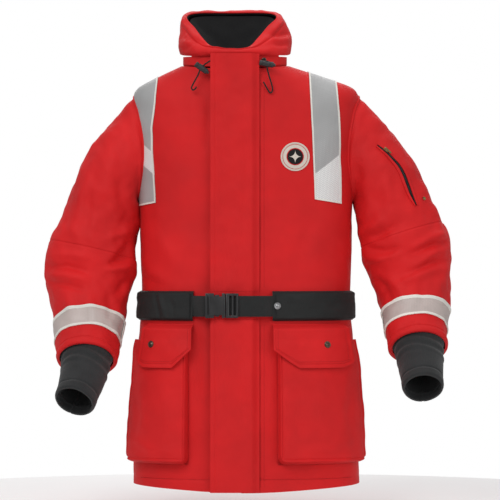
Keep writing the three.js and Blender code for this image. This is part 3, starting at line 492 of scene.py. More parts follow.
def wear_group():
    """Cloudy tone and rubbed patches over a surface, from its place."""
    group, start, end = new_group("Cloth Wear", [
        ("Vector", "NodeSocketVector", None), ("Cloud Scale", "NodeSocketFloat", 9.0),
        ("Grain Scale", "NodeSocketFloat", 420.0)],
        [("Cloud", "NodeSocketFloat"), ("Grain", "NodeSocketFloat"), ("Crumple", "NodeSocketFloat")])
    for label, socket, detail, rough in (("Cloud", "Cloud Scale", 3.0, 0.55), ("Grain", "Grain Scale", 3.0, 0.6)):
        noise = group.nodes.new("ShaderNodeTexNoise")
        noise.inputs["Detail"].default_value = detail
        noise.inputs["Roughness"].default_value = rough
        link(group, start.outputs["Vector"], noise.inputs["Vector"])
        link(group, start.outputs[socket], noise.inputs["Scale"])
        link(group, noise.outputs["Fac"], end.inputs[label])
    crumple = group.nodes.new("ShaderNodeTexNoise")
    crumple.noise_type = "RIDGED_MULTIFRACTAL"
    crumple.inputs["Scale"].default_value = 26
    crumple.inputs["Detail"].default_value = 2.5
    crumple.inputs["Distortion"].default_value = 0.6
    link(group, start.outputs["Vector"], crumple.inputs["Vector"])
    link(group, crumple.outputs["Fac"], end.inputs["Crumple"])
    return group


def honeycomb_group():
    """Six-sided cells with fine walls, from a UV map in metres."""
    group, start, end = new_group("Honeycomb", [
        ("Vector", "NodeSocketVector", None), ("Cells per Metre", "NodeSocketFloat", 330.0)],
        [("Wall", "NodeSocketFloat"), ("Cell", "NodeSocketFloat")])
    parts = group.nodes.new("ShaderNodeSeparateXYZ")
    link(group, start.outputs["Vector"], parts.inputs[0])
    scale = times(group, start.outputs["Cells per Metre"], 2 * math.pi)
    x = times(group, parts.outputs["X"], scale)
    y = times(group, times(group, parts.outputs["Y"], scale), 0.8660254)
    half = times(group, x, 0.5)
    waves = [x, math_node(group, "ADD", half, y), math_node(group, "SUBTRACT", half, y)]
    waves = [math_node(group, "COSINE", wave) for wave in waves]
    total = math_node(group, "ADD", math_node(group, "ADD", waves[0], waves[1]), waves[2])
    cell = math_node(group, "SMOOTH_MAX", math_node(group, "MULTIPLY_ADD", total, 0.3333, 0.2), 0.0, 0.1)
    wall = group.nodes.new("ShaderNodeMapRange")
    wall.inputs["From Min"].default_value = -0.5
    wall.inputs["From Max"].default_value = -1.35
    link(group, total, wall.inputs["Value"])
    link(group, wall.outputs[0], end.inputs["Wall"])
    link(group, cell, end.inputs["Cell"])
    return group


GROUPS = {}


def group_node(tree, key, vector, **values):
    makers = {"weave": weave_group, "wear": wear_group, "honeycomb": honeycomb_group}
    if key not in GROUPS:
        GROUPS[key] = makers[key]()
    node = tree.nodes.new("ShaderNodeGroup")
    node.node_tree = GROUPS[key]
    link(tree, vector, node.inputs["Vector"])
    for label, value in values.items():
        node.inputs[label.replace("_", " ")].default_value = value
    return node


# ---- materials ----
def mix_colours(tree, factor, first, second, blend="MIX"):
    node = tree.nodes.new("ShaderNodeMix")
    node.data_type = "RGBA"
    node.blend_type = blend
    for socket, value in ((node.inputs[0], factor), (node.inputs[6], first), (node.inputs[7], second)):
        if isinstance(value, (int, float)):
            socket.default_value = value
        elif isinstance(value, (tuple, list)):
            socket.default_value = (*value[:3], 1)
        else:
            link(tree, value, socket)
    return node.outputs[2]


def map_range(tree, value, low, high, to_low, to_high):
    node = tree.nodes.new("ShaderNodeMapRange")
    for label, number in (("From Min", low), ("From Max", high), ("To Min", to_low), ("To Max", to_high)):
        node.inputs[label].default_value = number
    link(tree, value, node.inputs["Value"])
    return node.outputs[0]


def bump(tree, height, strength, distance, normal=None):
    node = tree.nodes.new("ShaderNodeBump")
    node.inputs["Strength"].default_value = strength
    node.inputs["Distance"].default_value = distance
    link(tree, height, node.inputs["Height"])
    if normal is not None:
        link(tree, normal, node.inputs["Normal"])
    return node.outputs["Normal"]


def blank(name):
    material = bpy.data.materials.new(name)
    material.use_nodes = True
    tree = material.node_tree
    shader = tree.nodes["Principled BSDF"]
    where = tree.nodes.new("ShaderNodeTexCoord")
    return material, tree, shader, where


def shade(colour, factor):
    return tuple(max(0.0, min(1.0, c * factor)) for c in colour)


DARK_CLOUD, PALE_CLOUD = 0.86, 1.07


def clouded(tree, wear, colour, low, high):
    """A colour that drifts from darker to lighter in soft clouds."""
    cloud = map_range(tree, wear.outputs["Cloud"], 0.3, 0.7, 0, 1)
    return mix_colours(tree, cloud, shade(colour, low), shade(colour, high))


def roughen(tree, wear, shader, low, high):
    link(tree, map_range(tree, wear.outputs["Grain"], 0.3, 0.7, low, high), shader.inputs["Roughness"])


def cloth(name, colour, rough=0.62, sheen=0.02, threads=900.0, weave=0.25, crumple=0.3, grey=(0.5, 0.5, 0.5)):
    """A coated woven cloth with cloudy tone, fine threads with painted shade in the holes between them, and small
    creases.
    """
    material, tree, shader, where = blank(name)
    wear = group_node(tree, "wear", where.outputs["Object"])
    threads_node = group_node(tree, "weave", where.outputs["UV"], Threads_per_Metre=threads)
    cloud = map_range(tree, wear.outputs["Cloud"], 0.32, 0.68, 0, 1)
    base = mix_colours(tree, cloud, shade(colour, DARK_CLOUD), shade(colour, PALE_CLOUD))
    # painted shade: the colour darkens towards 0.6 of itself in the holes between the threads
    gap_shade = times(tree, threads_node.outputs["Gap"], 0.22)
    base = mix_colours(tree, gap_shade, base, shade(colour, 0.6))
    grain = times(tree, wear.outputs["Grain"], 0.03)
    base = mix_colours(tree, grain, base, mix_pair(colour, grey, 0.4))
    link(tree, base, shader.inputs["Base Color"])
    roughen(tree, wear, shader, rough - 0.06, rough + 0.08)
    normal = bump(tree, wear.outputs["Crumple"], crumple, 1.2 * MM)
    normal = bump(tree, threads_node.outputs["Height"], weave, 0.25 * MM, normal)
    link(tree, bump(tree, wear.outputs["Grain"], 0.12, 0.3 * MM, normal), shader.inputs["Normal"])
    shader.inputs["Sheen Weight"].default_value = sheen
    shader.inputs["Sheen Roughness"].default_value = 0.45
    shader.inputs["Specular IOR Level"].default_value = 0.2
    return material


def mix_pair(a, b, t):
    return tuple(x + (y - x) * t for x, y in zip(a, b))


def moulded(name, colour, rough=0.38, specular=0.5):
    """Moulded plastic with a fine grain, and a lighter colour on its sharp convex edges."""
    material, tree, shader, where = blank(name)
    wear = group_node(tree, "wear", where.outputs["Object"], Cloud_Scale=60.0, Grain_Scale=1400.0)
    base = clouded(tree, wear, colour, 0.85, 1.25)
    edge = tree.nodes.new("ShaderNodeNewGeometry")
    # the colour turns lighter where the surface is sharply convex, by Pointiness
    rubbed = map_range(tree, edge.outputs["Pointiness"], 0.53, 0.6, 0, 0.35)
    base = mix_colours(tree, rubbed, base, shade(colour, 2.6))
    link(tree, base, shader.inputs["Base Color"])
    roughen(tree, wear, shader, rough - 0.05, rough + 0.1)
    link(tree, bump(tree, wear.outputs["Grain"], 0.15, 0.15 * MM), shader.inputs["Normal"])
    shader.inputs["Specular IOR Level"].default_value = specular
    return material


def metal(name, colour, rough=0.34):
    """Plated metal with a thin, uneven tarnish."""
    material, tree, shader, where = blank(name)
    wear = group_node(tree, "wear", where.outputs["Object"], Cloud_Scale=180.0, Grain_Scale=2600.0)
    tarnish = map_range(tree, wear.outputs["Cloud"], 0.4, 0.65, 0, 0.7)
    link(tree, mix_colours(tree, tarnish, colour, shade(colour, 0.35)), shader.inputs["Base Color"])
    roughen(tree, wear, shader, rough - 0.08, rough + 0.14)
    link(tree, bump(tree, wear.outputs["Grain"], 0.1, 0.1 * MM), shader.inputs["Normal"])
    shader.inputs["Metallic"].default_value = 0.85
    return material


def reflective(name, silver, white, band=None):
    """Woven reflective tape with honeycomb cells. band gives where it glares: (start, slope, end) down it."""
    material, tree, shader, where = blank(name)
    cells = group_node(tree, "honeycomb", where.outputs["UV"])
    wear = group_node(tree, "wear", where.outputs["Object"], Cloud_Scale=14.0)
    base = clouded(tree, wear, silver, 0.9, 1.12)
    parts = tree.nodes.new("ShaderNodeSeparateXYZ")
    link(tree, where.outputs["UV"], parts.inputs[0])
    if band:
        along = math_node(tree, "ADD", parts.outputs["Y"], times(tree, parts.outputs["X"], -band[1]))
        low = map_range(tree, along, band[0] - 0.0012, band[0] + 0.0012, 0, 1)
        high = map_range(tree, along, band[2] - 0.0012, band[2] + 0.0012, 1, 0)
        base = mix_colours(tree, times(tree, low, high), base, white)
    base = mix_colours(tree, times(tree, cells.outputs["Wall"], 0.6), base, shade(silver, 0.62))
    link(tree, base, shader.inputs["Base Color"])
    link(tree, map_range(tree, cells.outputs["Cell"], 0, 1, 0.5, 0.34), shader.inputs["Roughness"])
    link(tree, bump(tree, cells.outputs["Wall"], 0.4, 0.3 * MM), shader.inputs["Normal"])
    shader.inputs["Specular IOR Level"].default_value = 0.6
    return material


def ribbed(name, colour, ribs=420.0, rough=0.8, along=True, weave=0.6):
    """Webbing or knitted cloth with ribs that follow the piece's UV map, with painted shade in the grooves between the
    ribs and in the holes between the threads.
    """
    material, tree, shader, where = blank(name)
    wear = group_node(tree, "wear", where.outputs["Object"], Cloud_Scale=24.0)
    threads = group_node(tree, "weave", where.outputs["UV"], Threads_per_Metre=ribs * 1.6)
    parts = tree.nodes.new("ShaderNodeSeparateXYZ")
    link(tree, where.outputs["UV"], parts.inputs[0])
    way = parts.outputs["X" if along else "Y"]
    rib = math_node(tree, "ABSOLUTE", math_node(tree, "SINE", times(tree, way, ribs * math.pi)))
    base = clouded(tree, wear, colour, 0.8, 1.2)
    # painted shade: darker in the grooves between the ribs
    base = mix_colours(tree, map_range(tree, rib, 0, 0.35, 0.5, 0), base, shade(colour, 0.45))
    # painted shade: darker in the holes between the threads
    base = mix_colours(tree, times(tree, threads.outputs["Gap"], 0.25), base, shade(colour, 0.5))
    link(tree, base, shader.inputs["Base Color"])
    roughen(tree, wear, shader, rough - 0.08, rough + 0.08)
    normal = bump(tree, rib, weave, 0.5 * MM)
    link(tree, bump(tree, threads.outputs["Height"], 0.3, 0.25 * MM, normal), shader.inputs["Normal"])
    shader.inputs["Sheen Weight"].default_value = 0.15
    shader.inputs["Specular IOR Level"].default_value = 0.25
    return material


FINISHES = {}


def finish_materials(red):
    """Every finish of the jacket, by name."""
    FINISHES.update({
        "red": cloth("red_shell_cloth", red),
        "thread": cloth("red_thread", shade(red, 0.62), rough=0.7, threads=3000.0, crumple=0.0),
        "dark_thread": cloth("black_thread", (0.012, 0.012, 0.013), rough=0.75, threads=3000.0, crumple=0.0,
                             grey=(0.05, 0.05, 0.05)),
        "lining": cloth("black_lining", (0.005, 0.005, 0.0055), rough=0.85, sheen=0.03, weave=0.3,
                        grey=(0.03, 0.03, 0.032)),
        "webbing": ribbed("belt_webbing", (0.020, 0.021, 0.021), ribs=520.0, along=False),
        "keeper": cloth("keeper_cloth", (0.021, 0.022, 0.022), rough=0.66, threads=1100.0, weave=0.4,
                        crumple=0.5, grey=(0.1, 0.1, 0.1)),
        "plastic": moulded("black_plastic", (0.018, 0.018, 0.019)),
        "buckle": moulded("buckle_plastic", (0.018, 0.018, 0.019), rough=0.3, specular=0.5),
        "silver_left": reflective("shoulder_tape_left", (0.40, 0.40, 0.40), (0.86, 0.86, 0.85),
                                  band=(0.122, 0.9, 0.164)),
        "silver_right": reflective("shoulder_tape_right", (0.40, 0.40, 0.40), (0.86, 0.86, 0.85),
                                   band=(0.213, -0.85, 0.6)),
        "wrist": reflective("wrist_band_silver", (0.56, 0.47, 0.44), (0.8, 0.76, 0.72)),
        "piping": cloth("cream_edging", (0.86, 0.84, 0.78), rough=0.6, threads=1500.0, crumple=0.1),
        "neoprene": ribbed("cuff_neoprene", (0.026, 0.027, 0.028), ribs=300.0, along=True, weave=0.35),
        "bronze": metal("dark_bronze", (0.13, 0.10, 0.075)),
        "nickel": metal("grey_nickel", (0.42, 0.42, 0.43), rough=0.25),
        "brass": metal("zip_brass", (0.34, 0.24, 0.10)),
        "cord": ribbed("braided_cord", (0.016, 0.011, 0.009), ribs=700.0, along=False, weave=0.8),
        "badge_pale": cloth("badge_pale", (0.74, 0.66, 0.58), rough=0.7, threads=1600.0, crumple=0.0),
        "badge_dark": cloth("badge_dark", (0.012, 0.011, 0.012), rough=0.7, threads=1600.0, crumple=0.0,
                            grey=(0.06, 0.06, 0.06)),
        "badge_red": cloth("badge_red", shade(red, 0.85), rough=0.7, threads=1600.0, crumple=0.0),
    })


def dress(piece, finish):
    piece.data.materials.clear()
    piece.data.materials.append(FINISHES[finish])
    return piece


def settle(piece, body, finish, nodes=()):
    """Gives a finished piece its material, its body and the nodes that it stands for."""
    dress(piece, finish)
    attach(piece, body)
    if nodes:
        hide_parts(*nodes)
    return piece


# ---- torso ----
ARMHOLE_HALF = (54 * MM, 102 * MM)
ARMHOLE_AT = (4 * MM, -156 * MM)
ZIP_GAP = 15.6 * MM
SIDE_SEAM = math.radians(92)
HEM_RISE = 0.16


def armhole_share(points):
    """Below 1 inside the armhole's oval, from the side."""
    y = (points[..., 1] - ARMHOLE_AT[0]) / ARMHOLE_HALF[0]
    z = (points[..., 2] - ARMHOLE_AT[1]) / ARMHOLE_HALF[1]
    inside = y ** 2 + z ** 2
    return np.where(np.abs(points[..., 0]) > 0.12, inside, 9)


def fit_armhole(angle, v, keep_outside):
    """Moves grid points near the armhole's edge onto it, so that the edge is smooth."""
    for _ in range(3):
        point = body_point(angle, v)
        share = armhole_share(point)
        near = (share > 0.72) & (share < 1.22)
        aim = np.where(near, 1 / np.sqrt(np.maximum(share, 1e-6)), 1)
        y = ARMHOLE_AT[0] + (point[..., 1] - ARMHOLE_AT[0]) * aim
        z = ARMHOLE_AT[1] + (point[..., 2] - ARMHOLE_AT[1]) * aim
        e = 1e-4
        da = (body_point(angle + e, v) - point) / e
        dv = (body_point(angle, v + e) - point) / e
        det = da[..., 1] * dv[..., 2] - da[..., 2] * dv[..., 1]
        det = np.where(np.abs(det) < 1e-9, 1e-9, det)
        dy, dz = y - point[..., 1], z - point[..., 2]
        step_a = (dy * dv[..., 2] - dz * dv[..., 1]) / det
        step_v = (dz * da[..., 1] - dy * da[..., 2]) / det
        snap = near & (np.abs(step_a) < 0.06) & (np.abs(step_v) < 0.25) & keep_outside
        angle, v = np.where(snap, angle + step_a, angle), np.where(snap, v + step_v, v)
    return angle, v


def torso_grid(side, rows=230, columns=96, low=0.12, high=LAST_RING):
    """Angles and ring numbers over one front, or over the back for side 0."""
    v = np.linspace(low, high, rows)[:, None]
    if side == 0:
        angle = np.linspace(SIDE_SEAM, 2 * math.pi - SIDE_SEAM, columns * 2 - 20)[None] + 0 * v
        return angle, v - hem_rise(angle, v)
    z = catmull(RINGS, v[:, 0], LAST_RING)[:, 1]
    near = front_angle(FRONT_X + side * ZIP_GAP, z)[:, None]
    share = np.linspace(0, 1, columns)[None]
    angle = lerp(near, side * SIDE_SEAM, share)
    if side < 0:
        angle = angle[:, ::-1]
    return angle, v - hem_rise(angle, v)


def hem_rise(angle, v):
    """How many rings higher the hem hangs at the sides."""
    return HEM_RISE * np.sin(angle) ** 2 * smooth(v - LAST_RING + 1)


def torso_wall(name, side, inner, outer, hem=False, rows=230):
    angle, v = torso_grid(side, rows)
    angle, v = fit_armhole(angle, v, np.abs(np.sin(angle)) > 0.35)
    base = body_point(angle, v)
    share = armhole_share(base)
    square = np.minimum.reduce([share[:-1, :-1], share[1:, :-1], share[:-1, 1:], share[1:, 1:]])
    keep = square > 0.93
    normal = body_normal(angle, v)
    relief = body_relief(base, normal)
    if hem:
        hem_line = hump(base[..., 2] + LENGTH, 0.026, 0.0016)
        relief = relief - 0.0011 * hem_line
    outside = base + normal * (relief + outer)[..., None]
    inside = base + normal * (relief + inner)[..., None]
    return slab(name, outside, inside, keep)


def build_torso():
    for word, side in (*SIDES, ("back", 0)):
        front = side != 0
        shell_node = f"front_panel_{word}" if front else "back_panel"
        other = (f"foam_front_{word}", f"lining_front_{word}") if front else ("foam_back", "lining_back")
        shell = torso_wall(f"shell_{word}", side, 0.2 * MM, SHELL, hem=True)
        settle(shell, "coat", "red", (shell_node,))
        pad = torso_wall(f"quilted_lining_{word}", side, -14.5 * MM, -0.6 * MM, rows=130)
        settle(pad, "coat", "lining", other)


# ---- collar and hood ----
HOOD_NECK = [(-24, -97, 20), (20, -92, 20), (52, -74, 20), (74, -35, 21), (78, 8, 24), (52, 38, 27), (-22, 52, 29),
    (-94, 38, 27), (-119, 8, 24), (-116, -35, 21), (-96, -74, 20), (-66, -92, 20)]
HOOD_BULGE = [(-26, -106, 23), (22, -101, 24), (60, -74, 28), (86, -30, 42), (89, 22, 78), (68, 66, 110), (-24, 84,
    113), (-116, 66, 108), (-131, 22, 76), (-134, -30, 48), (-116, -74, 30), (-72, -100, 24)]
HOOD_RIM = [(-30, -96, 27), (3, -90, 32), (20, -70, 52), (38, -40, 77), (56, -2, 97), (38, 34, 106), (-26, 44, 107),
    (-90, 34, 106), (-112, -2, 97), (-94, -40, 73), (-80, -68, 52), (-64, -88, 34)]


def closed_curve(points, u):
    """A smooth closed curve through points, at shares u of its way round."""
    table = np.array(points, float) * MM
    count = len(table)
    place = (u % 1) * count
    low = np.floor(place).astype(int)
    t = (place - low)[..., None]
    a, b, c, d = (table[(low + k) % count] for k in (-1, 0, 1, 2))
    return spline(a, b, c, d, t)


def hood_point(u, v):
    low, middle, high = (closed_curve(points, u) for points in (HOOD_NECK, HOOD_BULGE, HOOD_RIM))
    v = v[..., None]
    total = (1 - v) ** 2 + 2.5 * v * (1 - v) + v ** 2
    return (low * (1 - v) ** 2 + middle * 2.5 * v * (1 - v) + high * v ** 2) / total


def hood_normal(u, v):
    e = 1e-3
    along = hood_point(u + e, v) - hood_point(u - e, v)
    up = hood_point(u, v + e) - hood_point(u, v - e)
    return unit(np.cross(along, up))


# Folds of the hood's front.
HOOD_FOLDS = [(-3.2, 4.5, 40, 54, 60, 58, 84, 64), (3.0, 5, 44, 46, 62, 48, 84, 52), (-2.8, 4, 48, 36, 62, 37, 78,
    40), (-3.0, 4.5, -99, 48, -86, 42, -74, 34), (2.6, 5, -118, 44, -104, 38, -90, 30), (-2.8, 4, -124, 32, -110, 31,
    -92, 38), (2.4, 7, -112, 82, -98, 66, -84, 48), (2.2, 7, 70, 88, 56, 76, 40, 60), (-1.8, 5, -60, 22, -20, 20, 20,
    22), (2.0, 9, -120, 92, -110, 70, -112, 50), (-2.0, 7, 80, 84, 74, 66, 70, 50)]


def build_hood():
    start = float(front_angle(FRONT_X + ZIP_GAP, -0.006))
    end = float(front_angle(FRONT_X - ZIP_GAP, -0.006)) + 2 * math.pi
    angle = np.linspace(start, end, 150)[None]
    share = np.linspace(0, 1, 12)[:, None]
    base, normal = body_point(angle, 0), body_normal(angle, 0)
    top = (18 - 3 * np.cos(angle)) * MM

    def wall(lift):
        foot = base + normal * lift
        height = lerp(foot[..., 2] + 1.2 * MM, top, share)
        wave = 0.6 * MM * ripple(foot, 21, 0.05, 3)[..., None] * normal
        raised = np.broadcast_to(foot + wave, (*height.shape, 3)).copy()
        raised[..., 2] = height
        return raised

    collar = slab("stand_collar", wall(SHELL), wall(SHELL - 6 * MM))
    settle(collar, "coat", "red", ("collar",))

    u, v = grid(np.linspace(0, 1, 220, endpoint=False), np.linspace(0.04, 0.98, 44))
    point, normal = hood_point(u, v), hood_normal(u, v)
    shape = folds(point[..., [0, 2]] / MM, HOOD_FOLDS) * smooth(-normal[..., 1] * 1.5 + 0.35)
    shape += 2.0 * ripple(point, 31, 0.09) + 0.7 * ripple(point, 33, 0.03, 3)
    edge = smooth((0.98 - v) / 0.12)
    casing = 1.5 * hump(v, 0.86, 0.035) - 1.6 * hump(v, 0.80, 0.018)
    shape = (shape * edge + casing)[..., None] * MM * smooth((v - 0.04) / 0.2)[..., None]
    roll = (smooth((0.98 - v) / 0.07) * 2.2)[..., None] * MM
    outside = point + normal * (shape + 2.4 * MM + roll)
    inside = point + normal * (shape + 0.4 * MM)
    hood = slab("hood_cowl_cloth", outside, inside, wrap=True)
    settle(hood, "coat", "red", ("hood_cowl",))
    lining_in = point + normal * (shape - 2.6 * MM)
    lining = slab("hood_lining", inside[:-1] - normal[:-1] * 0.3 * MM, lining_in[:-1], wrap=True)
    settle(lining, "coat", "lining", ())
    build_hood_bag()
    build_hood_hollow()


HOLLOW_DEPTH = 26 * MM


def build_hood_hollow():
    """The dark folded lining that fills the hood's mouth."""
    turn = turns(90)[None]
    share = np.linspace(0, 1, 22)[:, None]
    rim = hood_point(np.broadcast_to(turn / (2 * math.pi), (22, 90)), np.full((22, 90), 0.9))
    centre = np.array([-27, -30, 34]) * MM
    bowl = centre + (rim - centre) * (0.90 * (1 - share) + 0.02)[..., None]
    bowl[..., 2] -= HOLLOW_DEPTH * np.sin(share * math.pi / 2) ** 1.2
    wave = 2.0 * MM * ripple(bowl, 41, 0.04, 3)[..., None] * unit(bowl - centre - (0, 0, 0.05))
    piece = slab("hood_inner_fold", bowl + wave, bowl + wave - np.array([0, 0, 2.0 * MM]), wrap=True)
    settle(piece, "coat", "lining", ())


BAG_SIZE = mm(89, 17, 205)
BAG_TOP = mm(-21, 88.6, 84)
BAG_LEAN = math.radians(16)


def build_hood_bag():
    """The hood hangs behind the collar as a slack bag with a seam down its middle."""
    turn = turns(160)[None]
    down = np.linspace(0, 1, 90)[:, None]
    wide = np.interp(down, [0, 0.3, 0.65, 0.85, 0.94, 0.985, 1], [0.92, 0.95, 1, 0.93, 0.74, 0.42, 0.03])

    def wall(inset):
        x = np.cos(turn) * (BAG_SIZE[0] * wide - inset)
        y = np.sin(turn) * (BAG_SIZE[1] * wide ** 0.7 - inset)
        z = -down * (BAG_SIZE[2] - inset) + 0 * turn
        x, y, z = np.broadcast_arrays(x, y, z)
        seam = -1.8 * MM * hump(x, 0, 3.5 * MM) * (np.sin(turn) > 0)
        local = np.stack([x, y + seam, z], -1)
        out = unit(np.stack([x / BAG_SIZE[0] ** 2, y / BAG_SIZE[1] ** 2, 0 * z], -1))
        height = 2.2 * ripple(local, 51, 0.08) + 0.8 * ripple(local, 52, 0.03, 3)
        height += folds(local[..., [0, 2]] / MM, [(2.5, 9, -60, -10, -40, -80, -60, -150), (2.5, 9, 55, -10, 40, -90,
            52, -150), (-2.5, 7, -20, -150, -40, -120, -44, -60), (-2.5, 7, 24, -150, 30, -110, 20, -50)])
        local = local + out * (height * MM)[..., None] * smooth((1 - down) / 0.2)[..., None]
        c, s = math.cos(BAG_LEAN), math.sin(BAG_LEAN)
        return np.stack([BAG_TOP[0] + local[..., 0], BAG_TOP[1] + local[..., 1] * c - local[..., 2] * s,
            BAG_TOP[2] + local[..., 1] * s + local[..., 2] * c], -1)

    bag = slab("hood_bag_cloth", wall(0), wall(5 * MM), wrap=True)
    settle(bag, "hood_bag", "red", ("hood_bag",))


def build_loop():
    path = np.array([(-46, 41.4, 6), (-45, 38, 3), (-43, 33, -3), (-39, 29, -9), (-34, 26.5, -14), (-28, 25.3,
        -17.5), (-21, 25, -19), (-14, 25.3, -17.5), (-8, 26.5, -14), (-3, 29, -9), (1, 33, -3), (3, 38, 3), (4, 41.4,
        6)], float) * MM
    loop = tube("hanger_loop_tape", path, 2.0 * MM, 10)
    settle(loop, "coat", "lining", ("hanger_loop",))


# ---- storm flap ----
FLAP_LEFT = -43 * MM
FLAP_HINGE = 36.4 * MM
FLAP_RIGHT = 49 * MM
FLAP_OUT = 13 * MM
CLOSING_LENGTH = LENGTH / math.cos(TILT)


def flap_relief(x, z):
    """Seams and soft waves of the flap, over closing coordinates in metres."""
    edge = np.minimum(x - FLAP_LEFT, 1)
    rolled = 0.7 * hump(edge, 0, 5 * MM) - 0.9 * hump(edge, 9 * MM, 1.2 * MM)
    wave = 1.5 * ripple(np.stack([x, 0 * x, z], -1), 61, 0.11) + 0.5 * ripple(np.stack([x, 0 * x, z], -1), 62, 0.035, 3)
    seen = np.stack([x, z], -1) / MM
    lines = folds(seen, [(1.8, 9, -38, -110, -30, -200, -36, -300), (-1.5, 8, 20, -80, 26, -200, 18, -330), (1.5, 10,
        0, -340, 6, -390, 2, -430), (-1.4, 8, -16, -300, -14, -370, -18, -430), (1.6, 10, -10, -486, -6, -560, -12,
        -650), (-1.6, 9, 18, -486, 16, -580, 20, -700), (1.4, 12, -30, -560, -28, -660, -34, -740)])
    return (rolled + wave + lines) * MM


def flap_wall(name, top, bottom):
    rows = int((top - bottom) / 0.0034) + 2
    x, z = grid(np.linspace(FLAP_LEFT, FLAP_RIGHT, 52), np.linspace(top, bottom, rows))
    hold = smooth((FLAP_RIGHT - x) / (20 * MM))
    belted = 1 - 0.85 * np.exp(-((z - BELT_Z) / (38 * MM)) ** 4)
    relief = flap_relief(x, z) * hold * belted
    sunk = lerp(-9.5 * MM, 0, smooth((FLAP_RIGHT - x) / (17 * MM))) + belt_press(z)
    end_round = -1.2 * MM * (1 - smooth((x - FLAP_LEFT) / (2.2 * MM)))
    outer = closing_point(x, -(FLAP_OUT + 3 * MM + relief + sunk + end_round), z)
    inner = closing_point(x, -(FLAP_OUT + relief + sunk - 0.2 * MM), z)
    return slab(name, outer, inner)


def belt_press(z):
    """The flap lies a little lower under the belt."""
    return -2.2 * MM * np.exp(-((z - BELT_Z) / (30 * MM)) ** 4)


FLAP_SPLITS = (-0.4285, -0.4810)


def build_storm_flap():
    """Two flaps above and below the belt, and the part under the belt, which rides on the coat."""
    cuts = (20 * MM, *FLAP_SPLITS, 1 * MM - CLOSING_LENGTH)
    rows = (("upper", "storm_flap_upper"), ("middle", "storm_flap_middle"), ("lower", "storm_flap_lower"))
    start = closing_point(FLAP_HINGE + 5 * MM, 0, BELT_Z)
    end = closing_point(FLAP_HINGE - 4 * MM, 0, BELT_Z)
    for k, (word, node) in enumerate(rows):
        piece = flap_wall(f"storm_flap_{word}_cloth", cuts[k] - (k > 0) * 0.3 * MM, cuts[k + 1])
        dress(piece, "red")
        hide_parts(node, *(("storm_flap_strip",) if k == 0 else ()))
        if word == "middle":
            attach(piece, "coat")
        else:
            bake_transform(piece)


# ---- pockets ----
POCKET_TOP, POCKET_BOTTOM = -520 * MM, -752 * MM
POCKET_FLAP_TOP, POCKET_FLAP_BOTTOM = -489 * MM, -572 * MM
POCKET_INNER, POCKET_FLAP_INNER = 83 * MM, 74 * MM
POCKET_OUTER, POCKET_FLAP_OUTER = math.radians(78), math.radians(70)
POCKET_CORNER = 18 * MM
SNAP_OUT = {"left": 155 * MM, "right": 177 * MM}
POCKET_SEAT = SHELL + 1.6 * MM


def pocket_reach(z):
    share = np.clip((POCKET_TOP - z) / (POCKET_TOP - POCKET_BOTTOM), 0, 1)
    return lerp(11 * MM, 21 * MM, share ** 0.7)


POCKET_FOLDS = {
    "left": [
        (2.4, 10, -226, -560, -214, -640, -230, -720), (-2.2, 8, -200, -590, -190, -660, -200, -740),
        (1.8, 14, -150, -590, -140, -670, -150, -740), (-1.6, 12, -120, -600, -118, -680, -124, -740),
        (1.8, 8, -210, -700, -170, -724, -130, -728)],
    "right": [
        (2.4, 10, 214, -560, 204, -640, 222, -720), (-2.2, 8, 190, -590, 180, -660, 192, -740),
        (1.8, 14, 140, -590, 128, -670, 140, -740), (-1.6, 12, 96, -600, 94, -680, 100, -740),
        (1.8, 8, 200, -700, 150, -724, 100, -726)],
}


def pocket_edges(side, inner, outer, z):
    near = front_angle(FRONT_X + side * inner, z)
    far = np.full(np.shape(z), side * outer)
    return (near, far) if side > 0 else (far, near)


def pocket_wall(word, side, s, z, inset, lift):
    """Points of a bellows pocket: s runs across it, and its sides fall back to the coat."""
    low, high = pocket_edges(side, POCKET_INNER + inset, POCKET_OUTER - inset / 0.2, z[:, 0])
    angle = lerp(low[:, None], high[:, None], s)
    reach = pocket_reach(z) - lift
    width = 0.17
    across = np.minimum(s, 1 - s) * width
    up = np.minimum(z - POCKET_BOTTOM, 1)
    corner = POCKET_CORNER - np.hypot(POCKET_CORNER - across, POCKET_CORNER - up)
    near_edge = np.where(np.maximum(across, up) < POCKET_CORNER, corner, np.minimum(across, up))
    crown = np.clip(near_edge / (7.5 * MM), 0, 1)
    crown = np.sqrt(np.clip(1 - (1 - crown) ** 2, 0, 1))
    ridge = hump(across, 5 * MM, 2.4 * MM) + hump(up, 5 * MM, 2.4 * MM)
    groove = hump(across, 9.5 * MM, 1.3 * MM) + hump(up, 9.5 * MM, 1.3 * MM)
    base = skin_at(angle, z, POCKET_SEAT)
    wave = folds(base[..., [0, 2]] / MM, POCKET_FOLDS[word]) + 1.4 * ripple(base, 71, 0.09)
    body = (np.clip(ridge, 0, 1) * 1.6 - np.clip(groove, 0, 1) * 1.2 + wave) * MM * crown
    sag = 3.0 * MM * np.sin(np.pi * s) * smooth((POCKET_TOP - z) / 0.14)
    return skin_at(angle, z, POCKET_SEAT + crown * (reach + sag * 0.6) + body)


def build_pockets():
    for word, side in SIDES:
        s = np.concatenate([np.linspace(0, 0.06, 12)[:-1], np.linspace(0.06, 0.94, 60), np.linspace(0.94, 1, 12)[1:]])
        z = np.concatenate([np.linspace(POCKET_TOP, POCKET_BOTTOM + 0.012, 76)[:-1],
            np.linspace(POCKET_BOTTOM + 0.012, POCKET_BOTTOM, 12)])
        s, z = np.broadcast_arrays(s[None], z[:, None])
        outer = pocket_wall(word, side, s, z, 0, 0)
        inner = pocket_wall(word, side, lerp(0.5, s, 0.985), z, 0, 1.8 * MM)
        pocket = slab(f"pocket_{word}_bellows", outer, inner)
        settle(pocket, "coat", "red", (f"pocket_{word}",))
        build_pocket_flap(word, side)


def flap_over(z):
    rise = np.clip((POCKET_FLAP_TOP - z) / (11.5 * MM), 0, 1)
    return lerp(SHELL + 1.2 * MM, POCKET_SEAT + pocket_reach(z) + 2.4 * MM, smooth(rise))


